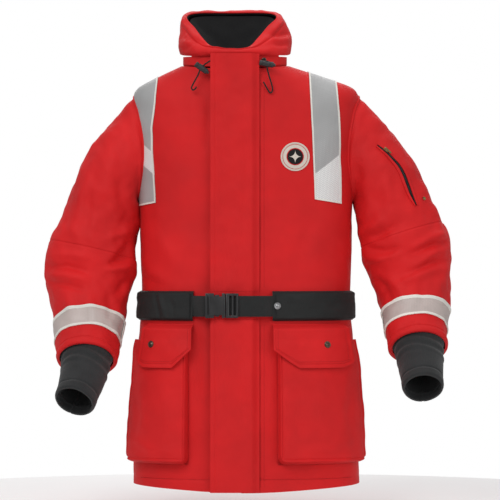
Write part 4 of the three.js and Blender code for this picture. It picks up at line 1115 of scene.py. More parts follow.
def flap_walls(side, s, t):
    """Outer and inner points of a pocket flap at shares s across it and t down it."""
    near = s if side > 0 else 1 - s
    inner_cut = np.clip((0.36 - near) / 0.36, 0, 1) * 0.42
    outer_cut = np.clip((near - 0.86) / 0.14, 0, 1) * 0.10
    depth = 1 - inner_cut - outer_cut
    z = lerp(POCKET_FLAP_TOP, POCKET_FLAP_BOTTOM, t * depth)
    low, high = pocket_edges(side, POCKET_FLAP_INNER, POCKET_FLAP_OUTER, z)
    angle = lerp(low, high, s)
    flare = 5 * MM * t * smooth((0.4 - near) / 0.4)
    width = 0.155
    edge = np.minimum(np.minimum(s, 1 - s) * width, (1 - t) * 0.083 * depth)
    rolled = 0.9 * hump(edge, 0, 4 * MM) - 0.9 * hump(edge, 7.5 * MM, 1.2 * MM)
    base = skin_at(angle, z, 0)
    wave = 1.2 * ripple(base, 81, 0.07) + 0.9 * np.sin(s * 9 + (side > 0) * 2) * t
    curl = 1.6 * t ** 3
    lift = flap_over(z) + (rolled + wave * smooth(t / 0.3) + curl) * MM + flare * 0.2
    soft = -0.9 * MM * (1 - smooth(edge / (1.6 * MM)))
    outer = skin_at(angle, z, lift + 3 * MM + soft)
    return outer, skin_at(angle, z, lift + 0.4 * MM)


def build_pocket_flap(word, side):
    """The flap has cut corners, a turned edge with two rows of stitching, and a snap."""
    s, t = grid(np.linspace(0, 1, 70), np.linspace(0, 1, 44))
    flap = slab(f"pocket_flap_{word}_cloth", *flap_walls(side, s, t))
    settle(flap, f"pocket_flap_{word}", "red", (f"pocket_flap_{word}",))
    middle = box_middle(f"pocket_snap_{word}")
    across = np.linspace(0.15, 0.9, 300)
    down = np.full(300, (POCKET_FLAP_TOP - middle[2]) / (POCKET_FLAP_TOP - POCKET_FLAP_BOTTOM))
    row = flap_walls(side, across, down)[0]
    near = int(np.argmin(np.abs(row[:, 0] - FRONT_X - side * SNAP_OUT[word])))
    rise = unit(flap_walls(side, across, down - 0.05)[0][near] - row[near])
    out = unit(np.cross(unit(row[near + 3] - row[near - 3]), rise))
    out = out if out[1] < 0 else -out
    build_snap(f"pocket_snap_{word}_cap", row[near] + out * 0.5 * MM, out, f"pocket_flap_{word}",
        f"pocket_snap_{word}")


SNAP_PROFILE = [(5.9, -1.6), (6.5, -1.5), (6.5, 0.1), (6.2, 0.75), (5.6, 1.15), (4.9, 1.1), (4.5, 0.7), (4.1, 0.62),
    (3.6, 0.95), (2.8, 1.5), (1.6, 1.9), (0.3, 2.0)]


def build_snap(name, seat, out, body, node, scale=1.0, finish="bronze"):
    profile = [(r * MM * scale, h * MM * scale) for r, h in SNAP_PROFILE]
    settle(turned(name, profile, seat, out), body, finish, (node,))


# ---- belt ----
BELT_HALF = 19.5 * MM
KEEPER_HALF = 28 * MM
KEEPER_OUT = SHELL + 2 * MM + 7.6 * MM
BUCKLE_LEFT, BUCKLE_LENGTH, BUCKLE_HALF = -76 * MM, 62 * MM, 23 * MM
BUCKLE_Y = -(FLAP_OUT + 3 * MM + 5.5 * MM + 0.7 * MM)
KEEPERS = {"left": (-84, -97), "right": (84, 49)}
KEEPER_FOLDS = {
    "left": [(2.6, 5, -158, -431, -152, -455, -146, -482), (-2.4, 4, -164, -430, -160, -456, -156, -483),
             (2.2, 5, -200, -436, -186, -448, -196, -474), (-1.6, 4, -138, -440, -132, -462, -134, -480)],
    "right": [(2.2, 6, 76, -432, 88, -442, 104, -446), (-1.8, 5, 196, -440, 170, -446, 150, -462),
              (1.5, 9, 110, -474, 150, -466, 186, -472), (-1.5, 6, 92, -476, 84, -462, 80, -446)],
}


def build_keeper(word):
    outer_angle = math.radians(KEEPERS[word][0])
    inner_angle = float(front_angle(KEEPERS[word][1] * MM, BELT_Z))
    angles = np.linspace(*sorted((outer_angle, inner_angle)), 120)
    t = np.linspace(-1, 1, 40)[:, None]
    angle, z = np.broadcast_arrays(angles[None], BELT_Z - t * KEEPER_HALF)
    base = skin_at(angle, z, 0)
    end = np.minimum(np.abs(angle - angles[0]), np.abs(angle - angles[-1])) * 0.2
    flat_edge = smooth((1 - np.abs(t)) / 0.14)
    crumple = folds(base[..., [0, 2]] / MM, KEEPER_FOLDS[word]) + 1.1 * ripple(base, 91, 0.05)
    stitched = -0.9 * hump(np.abs(t) * KEEPER_HALF, 24.5 * MM, 1.3 * MM)
    stitched = stitched - 0.9 * hump(end, 6 * MM, 1.5 * MM)
    lift = lerp(SHELL + 2.6 * MM, KEEPER_OUT, flat_edge) + (crumple * flat_edge + stitched) * MM
    outer = skin_at(angle, z, lift)
    inner = skin_at(angle, z, np.maximum(lift - 1.6 * MM, SHELL + 0.6 * MM))
    keeper = slab(f"belt_keeper_{word}_sleeve", outer, inner)
    settle(keeper, "coat", "keeper", (f"belt_keeper_{word}",))
    return inner_angle


def strap(name, path_top, path_bottom, thick, out):
    """Flat webbing between two edges, thicker in the middle than at its selvedges."""
    rows = 15
    t = np.linspace(0, 1, rows)[:, None, None]
    middle = path_top[None] * (1 - t) + path_bottom[None] * t
    edge = np.minimum(t, 1 - t)[..., 0] * 39 * MM
    swell = np.clip(edge / (1.6 * MM), 0, 1) ** 0.5
    half = thick / 2 * lerp(0.45, 1, swell)[..., None] * out[None]
    return slab(name, middle + half, middle - half)


def build_belt():
    mouths = {word: build_keeper(word) for word in KEEPERS}
    angles = np.linspace(math.radians(87), math.radians(273), 200)
    top, bottom = (skin_at(angles, np.full(200, BELT_Z + s * BELT_HALF), SHELL + 4.1 * MM) for s in (1, -1))
    out = body_normal(angles, ring_number(angles, np.full(200, BELT_Z)))
    back = strap("belt_back_webbing", top, bottom, 2 * MM, out)
    settle(back, "coat", "webbing", ("belt_back",))
    ends = (("left", mouths["left"] - math.radians(3), BUCKLE_LEFT + 2 * MM, 1.0), ("right",
        mouths["right"] + math.radians(3), BUCKLE_LEFT + BUCKLE_LENGTH - 1.4 * MM, 0.34))
    for word, from_angle, to_x, climb in ends:
        at = np.array(from_angle)
        start = skin_at(at, np.array(BELT_Z), SHELL + 5.8 * MM)
        target = closing_point(to_x - FRONT_X, BUCKLE_Y, BELT_Z / math.cos(TILT))
        share = np.linspace(0, 1, 46)
        eased = smooth(share / climb)
        x, y = lerp(start[0], target[0], share), lerp(start[1], target[1], eased)
        dip = 0.5 * MM * np.sin(share * 9)
        tops, bottoms = (np.stack([x, y + dip * s, np.full(46, BELT_Z + s * BELT_HALF)], -1) for s in (1, -1))
        way = unit(np.gradient(tops, axis=0))
        out = unit(np.cross(way, (0, 0, 1.0)))
        out *= np.sign(-out[:, 1:2])
        piece = strap(f"belt_end_{word}_webbing", tops, bottoms, 2 * MM, out)
        if word == "left":
            settle(piece, "coat", "webbing", ("belt_end_left",))
        else:
            dress(piece, "webbing")
            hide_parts("belt_end_right")
            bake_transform(piece)
    at = float(front_angle(58 * MM, BELT_Z))
    out = body_normal(at, ring_number(at, BELT_Z))
    build_snap("belt_snap_cap", box_middle("belt_snap") - out * 0.5 * MM, out, "coat", "belt_snap", finish="nickel")
    build_buckle()


def buckle_place(points):
    return closing_point(points[:, 0], BUCKLE_Y + points[:, 1], BELT_Z / math.cos(TILT) + points[:, 2])


def build_buckle():
    """A side-release buckle: a hollow body with finger notches, and a prong with a ladder bar."""
    body_length = BUCKLE_LENGTH * 0.6
    middle = BUCKLE_LEFT + body_length / 2 - FRONT_X
    tall = BUCKLE_HALF * 2

    def block(name, x, y, z, size, bevel, cuts=()):
        return rounded_block(name, size, lambda p: buckle_place(p + np.array((x, y, z))), bevel, cuts)

    socket = block("buckle_socket", middle, 0, 0, (body_length, 11 * MM, tall), 2.2 * MM, (
        ((body_length - 5 * MM, 6.6 * MM, tall - 9 * MM), (6 * MM, 0, 0)),
        (mm(15, 30, 11), (5 * MM, 0, tall / 2)),
        (mm(15, 30, 11), (5 * MM, 0, -tall / 2)),
        ((4.4 * MM, 30 * MM, tall - 12 * MM), (-body_length / 2 + 6.5 * MM, 0, 0))))
    bridge = block("buckle_bridge", middle + 5.2 * MM, -4.4 * MM, 0, (14 * MM, 2.0 * MM, tall - 16 * MM), 0.9 * MM)
    ridge = block("buckle_ridge", middle - 11.5 * MM, -5.5 * MM, 0, (2.4 * MM, 1.6 * MM, tall - 5 * MM), 0.7 * MM)
    lip = block("buckle_lip", middle + body_length / 2 - 1.6 * MM, -5.3 * MM,
        0, (2.2 * MM, 1.8 * MM, tall - 14 * MM), 0.8 * MM)
    female = joined("buckle_socket_body", [socket, bridge, ridge, lip])
    settle(female, "coat", "buckle", ("buckle_female",))
    nose = BUCKLE_LENGTH - body_length
    seam = BUCKLE_LEFT + body_length - FRONT_X
    frame_piece = block("buckle_prong_frame", seam + nose / 2 + 0.4 * MM, 0, 0, (nose, 9.4 * MM, tall), 2.0 * MM, (
        ((4.2 * MM, 30 * MM, tall - 9 * MM), (-3 * MM, 0, 0)),
        ((4.2 * MM, 30 * MM, tall - 9 * MM), (5.0 * MM, 0, 0))))
    lip = block("buckle_prong_lip", seam + nose - 1.6 * MM, -4.4 * MM, 0, (2.2 * MM, 1.8 * MM, tall - 2 * MM), 0.8 * MM)
    prongs = [block(f"buckle_prong_{k}", seam - 11 * MM, 0, k * 13.6 * MM, mm(25, 4.6, 5.0), 1.4 * MM) for k in (-1,
        0, 1)]
    heads = [block(f"buckle_head_{k}", seam - 15.5 * MM, 0, k * 17.6 * MM, mm(9, 4.2, 5.6), 1.6 * MM) for k in (-1,
        1)]
    male = joined("buckle_prong_body", [frame_piece, lip, *prongs, *heads])
    settle(male, "buckle_male", "buckle", ("buckle_male",))
    turns = (("left", "coat", middle - body_length / 2 + 6.0 * MM, 9 * MM), ("right", "buckle_male",
        seam + nose / 2 + 1.0 * MM, nose - 4 * MM))
    for word, body, x, wide in turns:
        turn = block(f"belt_turn_{word}", x, 1.2 * MM, 0, (wide, 2.0 * MM, tall - 10 * MM), 0.7 * MM)
        settle(turn, body, "webbing")


# ---- sleeves ----
# Each station: middle, width across the arm and depth along Y, in millimetres.
STATIONS = {
    "left": [(-267, 2, -250, 138, 150), (-284, -3, -318, 156, 156), (-298, -10, -384, 176, 158),
             (-299, -34, -446, 148, 138), (-298, -74, -511, 126, 118), (-300, -112, -556, 112, 106)],
    "right": [(271, 2, -236, 140, 150), (289, -3, -292, 156, 156), (307, -10, -352, 170, 158),
              (318, -36, -420, 142, 136), (322, -76, -490, 120, 114), (325, -112, -533, 110, 104)],
}
STATIONS = {word: np.array(rows, float) * MM for word, rows in STATIONS.items()}
CUFF_ENDS = {"left": np.array((-319, -182, -631)) * MM, "right": np.array((329, -182, -606)) * MM}
LAST_STATION = 5
HEAD_SPLIT = 1.55
WRIST_BAND = (3.62, 4.24)


def sleeve_way(word, v):
    e = 0.02
    step = catmull(STATIONS[word], v + e, LAST_STATION) - catmull(STATIONS[word], v - e, LAST_STATION)
    return unit(step[..., :3])


def ring_point(middle, way, width, depth, u, grow):
    across = unit(np.cross(np.array([0, -1.0, 0]), way))
    forward = unit(np.cross(way, across))
    turn = 2 * math.pi * u
    return (middle - across * (np.sin(turn) * (width / 2 + grow))[...,
        None] + forward * (np.cos(turn) * (depth / 2 + grow))[..., None])


def sleeve_point(word, u, v, grow):
    u, v, grow = np.broadcast_arrays(*(np.asarray(a, float) for a in (u, v, grow)))
    row = catmull(STATIONS[word], v, LAST_STATION)
    return ring_point(row[..., :3], sleeve_way(word, v), row[..., 3], row[..., 4], u, grow)


def side_point(side, y, z):
    angle = side * halved(np.zeros(y.shape), np.full(y.shape, math.pi),
        20, lambda turn: body_point(side * turn, ring_number(side * turn, z))[..., 1] < y)
    return angle, ring_number(angle, z)


ARMHOLES = {}


def armhole_table(side):
    """The armhole's edge on the coat, its direction out of it, and the coat's own normal there."""
    if side not in ARMHOLES:
        turn = np.linspace(0, 2 * math.pi, 361)
        y = ARMHOLE_AT[0] - np.cos(turn) * (ARMHOLE_HALF[0] - 1 * MM)
        z = ARMHOLE_AT[1] - side * np.sin(turn) * (ARMHOLE_HALF[1] - 1 * MM)
        angle, v = side_point(side, y, z)
        point = skin(angle, v, SHELL + 0.3 * MM)
        out = unit(point - np.stack([point[:, 0], 0 * y + ARMHOLE_AT[0], 0 * y + ARMHOLE_AT[1]], -1))
        ARMHOLES[side] = np.concatenate([point, out, body_normal(angle, v)], 1)
    return ARMHOLES[side]


def armhole_point(side, u, grow):
    row = catmull(armhole_table(side), (u % 1) * 360, 360)
    point, out, normal = row[..., :3], row[..., 3:6], row[..., 6:]
    return point + (normal * 0.2 + out * 0.8) * grow[..., None], out


def head_point(word, side, u, v, grow):
    """The soft head of the sleeve, from the armhole at v 0 to the first station at v 1."""
    u, v, grow = np.broadcast_arrays(*(np.asarray(a, float) for a in (u, v, grow)))
    start, out = armhole_point(side, u, grow)
    end = sleeve_point(word, u, 0 * u, grow)
    reach = np.linalg.norm(start - end, axis=-1, keepdims=True) * 0.36
    slope = unit(np.stack([0 * u + side * 0.62, out[..., 1] * 0.4, 0 * u - 0.78], -1))
    leave, arrive = start + slope * reach, end - sleeve_way(word, 0 * u) * reach
    t = v[..., None]
    return (start * (1 - t) ** 3 + leave * 3 * t * (1 - t) ** 2 + arrive * 3 * t ** 2 * (1 - t) + end * t ** 3)


def arm_point(word, side, u, w, grow):
    """A point on a sleeve: w runs 0 to 1 down the head, then on along the stations."""
    u, w, grow = np.broadcast_arrays(*(np.asarray(a, float) for a in (u, w, grow)))
    head = head_point(word, side, u, np.clip(w, 0, 1), grow)
    arm = sleeve_point(word, u, np.clip(w - 1, 0, None), grow)
    return np.where((w < 1)[..., None], head, arm)


def arm_normal(word, side, u, w):
    e = 2e-3
    along = arm_point(word, side, u + e, w, 0) - arm_point(word, side, u - e, w, 0)
    down = arm_point(word, side, u, w + e, 0) - arm_point(word, side, u, np.clip(w - e, 0, None), 0)
    normal = unit(np.cross(down, along))
    word_row = catmull(STATIONS[word], np.clip(w - 1, 0, None), LAST_STATION)[..., :3]
    point = arm_point(word, side, u, w, 0)
    outward = np.sum((point - word_row) * normal, -1, keepdims=True)
    return normal * np.where(outward < 0, -1, 1)


# Folds of the sleeves seen from the front: height, half width and line in millimetres (x, z).
ARM_FOLDS = {
    "left": [
        (3.0, 16, -258, -150, -262, -230, -246, -300), (-2.6, 12, -236, -170, -238, -250, -222, -320),
        (2.4, 12, -300, -200, -318, -270, -330, -330), (-2.2, 10, -282, -190, -300, -260, -306, -340),
        (-5.0, 8, -222, -330, -228, -350, -250, -372), (4.5, 9, -214, -300, -232, -318, -262, -326),
        (-4.5, 7, -216, -360, -232, -366, -262, -378), (4.0, 8, -210, -378, -240, -384, -272, -388),
        (-4.0, 7, -376, -384, -340, -380, -296, -392), (4.2, 9, -382, -396, -346, -396, -290, -408),
        (-3.2, 7, -376, -412, -336, -416, -300, -428), (3.2, 9, -372, -360, -330, -358, -290, -366),
        (-3.6, 7, -216, -402, -232, -414, -250, -440), (3.0, 8, -208, -394, -222, -420, -232, -452),
        (2.6, 12, -340, -430, -330, -460, -332, -484), (-2.4, 9, -262, -430, -254, -456, -258, -484),
        (2.2, 9, -300, -440, -286, -464, -288, -486),
    ],
    "right": [
        (2.6, 14, 232, -180, 226, -250, 236, -300), (-2.8, 10, 214, -184, 212, -226, 214, -262),
        (2.6, 12, 258, -170, 270, -250, 268, -310), (-2.2, 10, 330, -240, 350, -280, 362, -310),
        (2.4, 12, 320, -180, 346, -250, 372, -300),
        (4.5, 9, 384, -318, 350, -326, 310, -350), (-4.2, 7, 388, -332, 350, -340, 300, -362),
        (3.8, 8, 390, -346, 354, -356, 316, -384), (-3.8, 7, 388, -368, 352, -372, 300, -396),
        (3.8, 9, 386, -384, 346, -390, 290, -412), (-3.4, 8, 226, -344, 260, -352, 300, -346),
        (3.4, 8, 224, -366, 256, -366, 290, -356), (-4.6, 8, 222, -330, 250, -322, 290, -300),
        (4.0, 9, 214, -318, 238, -306, 270, -290), (-3.0, 8, 242, -400, 262, -420, 274, -450),
        (2.8, 9, 262, -396, 290, -424, 298, -452), (2.4, 12, 370, -400, 362, -430, 366, -456),
        (-2.2, 8, 330, -404, 330, -430, 334, -456),
    ],
}
ARM_BACK_FOLDS = {word: [(3.0, 16, side * 230, -160, side * 262, -240, side * 276, -310), (-2.6, 12, side * 262,
    -160, side * 290, -240, side * 304, -320), (3.4, 10, side * 214, -330, side * 260, -344, side * 330, -336),
    (-3.4, 8, side * 226, -352, side * 280, -362, side * 350, -352), (3.4, 10, side * 226, -376, side * 290, -384,
    side * 370, -374), (2.4, 12, side * 280, -410, side * 290, -460, side * 286, -510)] for word, side in SIDES}


def arm_relief(word, side, point, normal, w):
    """How far a sleeve's cloth stands off its plain shape, in metres."""
    seen = point[..., [0, 2]] / MM
    front, back = smooth(-normal[..., 1] * 1.4 + 0.25), smooth(normal[..., 1] * 1.4)
    shape = 1.45 * front * folds(seen, ARM_FOLDS[word]) + 1.2 * back * folds(seen, ARM_BACK_FOLDS[word])
    shape = shape + 3.2 * ripple(point, 101 + side, 0.10) + 1.3 * ripple(point, 103 + side, 0.045, 3)
    return shape * smooth((w - 0.02) / 0.22) * smooth((6.02 - w) / 0.3) * MM


def arm_skin(word, side, u, w, *lifts):
    """Points on the folded sleeve at each lift off it."""
    u, w = np.broadcast_arrays(np.asarray(u, float), np.asarray(w, float))
    point, normal = arm_point(word, side, u, w, 0), arm_normal(word, side, u, w)
    point = point + normal * arm_relief(word, side, point, normal, w)[..., None]
    walls = [point + normal * (np.zeros(u.shape) + lift)[..., None] for lift in lifts]
    return walls[0] if len(walls) == 1 else walls


def arm_wall(name, word, side, low, high, rows, inner, outer, shape=None):
    u, w = grid(np.linspace(0, 1, 200, endpoint=False), np.linspace(low, high, rows))
    extra = shape(u, w) if shape else 0 * u
    return slab(name, *arm_skin(word, side, u, w, outer + extra, inner + extra), wrap=True)


SLEEVE_WALL = -3.2 * MM


def build_sleeves():
    for word, side in SIDES:
        seam = lambda u, w: (-1.4 * hump(w, 0.035, 0.02) + 1.2 * hump(w, 0.10, 0.04)) * MM
        split = 1 + HEAD_SPLIT
        upper = arm_wall(f"sleeve_upper_{word}", word, side, 0.004, split + 0.22, 150, SLEEVE_WALL,
            0.0, lambda u, w: seam(u, w) - 4.4 * MM * smooth((w - split + 0.09) / 0.09))
        dress(upper, "red")
        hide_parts(f"sleeve_cap_{word}", f"upper_sleeve_{word}")
        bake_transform(upper)
        ring = arm_skin(word, side, np.linspace(0, 1, 161), np.full(161, 0.006), -1.4 * MM)
        welt = tube(f"armhole_seam_{word}", ring, np.full(161, 3.0 * MM), 12)
        settle(welt, "coat", "red")
        lower = arm_wall(f"sleeve_lower_{word}", word, side, split - 0.06, 6.0, 170, SLEEVE_WALL,
            0.0, lambda u, w: (-0.7 * smooth((split - w + 0.01) / 0.05) - 1.5 * hump(w, 5.72, 0.022) + 1.2 * hump(w,
            5.86, 0.09) - 2.2 * smooth((w - 5.96) / 0.04)) * MM)
        dress(lower, "red")
        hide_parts(f"elbow_fold_{word}", f"lower_sleeve_{word}")
        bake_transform(lower)
        build_wrist(word, side)
        build_cuff(word)


def build_wrist(word, side):
    """A reflective band round the wrist with cream edges, and an overlapping tab towards the body."""
    body = f"lower_sleeve_{word}"
    low, high = 1 + WRIST_BAND[0], 1 + WRIST_BAND[1]
    u = np.linspace(0, 1, 200, endpoint=False)[None]

    def ring(name, start, end, rows, inner, outer, finish, nodes=()):
        w = np.linspace(start, end, rows)[:, None]
        a, b = np.broadcast_arrays(u, w)
        dome = np.minimum(b - start, end - b) / (end - start)
        rise = 0.25 * MM * np.clip(dome / 0.2, 0, 1)
        piece = slab(name, *arm_skin(word, side, a, b, outer + rise, inner), wrap=True)
        return settle(piece, body, finish, nodes)

    edge = 0.075
    ring(f"wrist_band_{word}", low, high, 24, 0.3 * MM, 1.5 * MM, "wrist", (f"wrist_tape_{word}",))
    ring(f"wrist_edge_top_{word}", low - 0.01, low + edge, 6, 0.6 * MM, 2.1 * MM, "piping")
    ring(f"wrist_edge_bottom_{word}", high - edge, high + 0.01, 6, 0.6 * MM, 2.1 * MM, "piping")
    turn = 0.30 if side > 0 else 0.70
    sign = 1 if side > 0 else -1
    for name, start, end, lift, finish in (("wrist_tab", -0.09, 0.05, 2.3, "wrist"), ("wrist_tab_edge", 0.05, 0.066,
            2.7, "piping")):
        a = turn + sign * np.linspace(start, end, 30)[None] * -1
        b = np.linspace(low + 0.02, high - 0.02, 20)[:, None]
        a, b = np.broadcast_arrays(a, b)
        piece = slab(f"{name}_{word}", *arm_skin(word, side, a, b, (lift + 1.0) * MM, lift * MM))
        settle(piece, body, finish)


def build_cuff(word):
    """The inner storm cuff: stretchy, ribbed at its top, with a turned hem and one seam."""
    last = catmull(STATIONS[word], np.array(5.0), LAST_STATION)
    start = catmull(STATIONS[word], np.array(4.75), LAST_STATION)
    way = sleeve_way(word, np.array(5.0))
    end = CUFF_ENDS[word]
    bow = last[:3] + way * np.linalg.norm(start[:3] - end) * 0.35
    u, v = grid(np.linspace(0, 1, 180, endpoint=False), np.linspace(0, 1, 90))
    t = v[..., None]
    middle = start[:3] * (1 - t) ** 2 + bow * 2 * t * (1 - t) + end * t ** 2
    along = unit((bow - start[:3]) * (1 - t) + (end - bow) * t)
    width, depth = (lerp(last[k] - 12.5 * MM, 76 * MM, v ** 0.8) for k in (3, 4))
    shape = 0.9 * ripple(middle + 0.03 * np.stack([np.cos(u * 6.28), np.sin(u * 6.28), v], -1), 111, 0.05, 4)
    shape = shape - 1.3 * hump(v, 0.84, 0.016) + 0.9 * smooth((v - 0.85) / 0.04)
    shape = shape + 1.2 * np.sin(v * 34 + 1.6 * np.sin(u * 12.6)) * smooth((0.55 - v) / 0.2)
    shape = shape - 1.4 * hump(u, 0.5, 0.006)
    shape = shape - 2.2 * smooth((v - 0.97) / 0.03)
    outer = ring_point(middle, along, width, depth, u, shape * MM)
    inner = ring_point(middle, along, width, depth, u, shape * MM - 3.0 * MM)
    cuff = slab(f"storm_cuff_{word}", outer, inner, wrap=True)
    settle(cuff, f"lower_sleeve_{word}", "neoprene", (f"cuff_{word}",))


# ---- trim ----
TAPE_LINES = {
    "left": (((-46, -210), (-84, -225), (-142, -229), (-180, -226), (-268, -212)),
             ((-22, -166), (-70, -170), (-118, -175), (-178, -174), (-260, -169))),
    "right": (((-12, 118), (-90, 122), (-180, 126), (-254, 129)),
              ((-30, 171), (-90, 175), (-150, 177), (-262, 178))),
}


def build_shoulder_tapes():
    for word in TAPE_LINES:
        def edge(line, z):
            rows = np.array(line, float) * MM
            order = np.argsort(rows[:, 0])
            return np.interp(z, rows[order, 0], rows[order, 1])

        lines = TAPE_LINES[word]
        tops = [line[0][0] * MM for line in lines]
        bottoms = [line[-1][0] * MM for line in lines]
        s, t = grid(np.linspace(0, 1, 26), np.linspace(0, 1, 110))
        z = lerp(lerp(tops[0], tops[1], s), lerp(bottoms[0], bottoms[1], s), t)
        x = lerp(edge(lines[0], z), edge(lines[1], z), s)
        angle = front_angle(x, z)
        ring = ring_number(angle, z)

        def cover(low, high, rows, name, lift, thick, finish, nodes=()):
            a, b = grid(np.linspace(low[0], high[0], rows[0]), np.linspace(low[1], high[1], rows[1]))
            angle_here, ring_here = sample(angle, a, b), sample(ring, a, b)
            piece = slab(name, skin(angle_here, ring_here, lift + thick), skin(angle_here, ring_here, lift))
            return settle(piece, "coat", finish, nodes)

        tape = cover((0, 0), (1, 1), (26, 110), f"shoulder_tape_{word}_band", 0.3 * MM + SHELL, 1.0 * MM,
            f"silver_{word}", (f"shoulder_tape_{word}",))
        wide, tall = 0.055, 0.014
        lift, thick = SHELL + 1.0 * MM, 0.9 * MM
        cover((0, 0), (wide, 1), (5, 110), f"tape_piping_inner_{word}", lift, thick, "piping")
        cover((1 - wide, 0), (1, 1), (5, 110), f"tape_piping_outer_{word}", lift, thick, "piping")
        cover((0, 1 - tall), (1, 1), (26, 5), f"tape_piping_bottom_{word}", lift, thick + 0.1 * MM, "piping")


def sample(grid, s, t):
    """Values of a regular grid at shares s across and t down it."""
    rows, columns = grid.shape
    x, y = np.clip(s, 0, 1) * (columns - 1), np.clip(t, 0, 1) * (rows - 1)
    i, j = np.clip(x.astype(int), 0, columns - 2), np.clip(y.astype(int), 0, rows - 2)
    fx, fy = x - i, y - j
    return (grid[j, i] * (1 - fx) * (1 - fy) + grid[j, i + 1] * fx * (1 - fy) + grid[j + 1,
        i] * (1 - fx) * fy + grid[j + 1, i + 1] * fx * fy)


BADGE_AT = (92 * MM, -174 * MM)
BADGE_RADIUS = 27 * MM


def build_badge():
    """A plain round sewn badge: pale field, red stitched rings, and a four-pointed star on a dark middle."""
    def disc(name, radius, hole, lift, thick, finish, rows=10, outline=None):
        turn = turns(96)[None]
        r = lerp(hole, radius * (outline(turn) if outline else 1), np.linspace(0, 1, rows)[:, None])
        x, z = BADGE_AT[0] + r * np.cos(turn), BADGE_AT[1] + r * np.sin(turn)
        angle = front_angle(x, z)
        ring = ring_number(angle, z)
        piece = slab(name, skin(angle, ring, lift + thick), skin(angle, ring, lift), wrap=True)
        dress(piece, finish)
        return piece

    parts = [disc("badge_field", BADGE_RADIUS, 0.4 * MM, SHELL + 0.2 * MM, 1.0 * MM, "badge_pale", 12),
        disc("badge_rim", BADGE_RADIUS, BADGE_RADIUS - 1.6 * MM, SHELL + 0.9 * MM, 0.9 * MM, "badge_pale", 4),
        disc("badge_ring", 16.2 * MM, 14.6 * MM, SHELL + 1.1 * MM, 0.5 * MM, "badge_red", 3),
        disc("badge_middle", 14.6 * MM, 0.4 * MM, SHELL + 1.1 * MM, 0.7 * MM, "badge_dark", 8),
        disc("badge_outer_ring", 23.6 * MM, 22.8 * MM, SHELL + 1.1 * MM, 0.4 * MM, "badge_red", 3)]
    star = lambda turn: (np.abs(np.cos(turn)) ** 0.55 + np.abs(np.sin(turn)) ** 0.55) ** (-1 / 0.55)
    parts.append(disc("badge_star", 11.5 * MM, 0.4 * MM, SHELL + 1.7 * MM, 0.6 * MM, "badge_pale", 8, star))
    for part in parts:
        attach(part, "coat")


# ---- zips ----
def teeth_tree():
    """A Geometry Nodes tree that sets small blocks along a line, each turned to follow it."""
    tree = bpy.data.node_groups.new("Teeth Along Line", "GeometryNodeTree")
    for label, kind, value in (("Geometry", "NodeSocketGeometry", None), ("Spacing", "NodeSocketFloat", 0.004),
            ("Size", "NodeSocketVector", (0.002, 0.0014, 0.003)), ("Material", "NodeSocketMaterial", None)):
        socket = tree.interface.new_socket(name=label, in_out="INPUT", socket_type=kind)
        if value is not None:
            socket.default_value = value
    tree.interface.new_socket(name="Geometry", in_out="OUTPUT", socket_type="NodeSocketGeometry")
    add = tree.nodes.new
    start, end = add("NodeGroupInput"), add("NodeGroupOutput")
    curve, spread, block = add("GeometryNodeMeshToCurve"), add("GeometryNodeResampleCurve"), add("GeometryNodeMeshCube")
    spread.mode = "LENGTH"
    place, turn, real, paint = (add(kind) for kind in (
        "GeometryNodeInstanceOnPoints", "FunctionNodeAlignRotationToVector", "GeometryNodeRealizeInstances",
        "GeometryNodeSetMaterial"))
    turn.axis = "Z"
    tangent = add("GeometryNodeInputTangent")
    for source, target in (
            (start.outputs["Geometry"], curve.inputs["Mesh"]),
            (curve.outputs[0], spread.inputs["Curve"]),
            (start.outputs["Spacing"], spread.inputs["Length"]),
            (start.outputs["Size"], block.inputs["Size"]),
            (spread.outputs[0], place.inputs["Points"]),
            (block.outputs["Mesh"], place.inputs["Instance"]),
            (tangent.outputs[0], turn.inputs["Vector"]),
            (turn.outputs[0], place.inputs["Rotation"]),
            (place.outputs[0], real.inputs[0]),
            (real.outputs[0], paint.inputs["Geometry"]),
            (start.outputs["Material"], paint.inputs["Material"]),
            (paint.outputs[0], end.inputs["Geometry"])):
        link(tree, source, target)
    return tree


TREES = {}


def along_lines(name, lines, spacing, size, finish):
    """Small blocks set along polylines by Geometry Nodes, as one plain mesh."""
    if "teeth" not in TREES:
        TREES["teeth"] = teeth_tree()
    points, edges = [], []
    for line in lines:
        first = len(points)
        points.extend(np.asarray(line).tolist())
        edges.extend((first + k, first + k + 1) for k in range(len(line) - 1))
    mesh = bpy.data.meshes.new(name)
    mesh.from_pydata(points, edges, [])
    piece = bpy.data.objects.new(name, mesh)
    bpy.context.scene.collection.objects.link(piece)
    modifier = piece.modifiers.new("teeth", "NODES")
    modifier.node_group = TREES["teeth"]
    values = {"Spacing": spacing, "Size": size, "Material": FINISHES[finish]}
    for item in TREES["teeth"].interface.items_tree:
        if item.item_type == "SOCKET" and item.in_out == "INPUT" and item.name in values:
            modifier[item.identifier] = values[item.name]
    apply_modifiers(piece)
    piece.data.name = name
    return piece


def closing_slab(name, x, y, z, columns=8, rows=120):
    """A slab in the closing's own coordinates. x, y and z are each (low, high)."""
    a, b = grid(np.linspace(x[0], x[1], columns), np.linspace(z[1], z[0], rows))
    return slab(name, closing_point(a, y[0], b), closing_point(a, y[1], b))


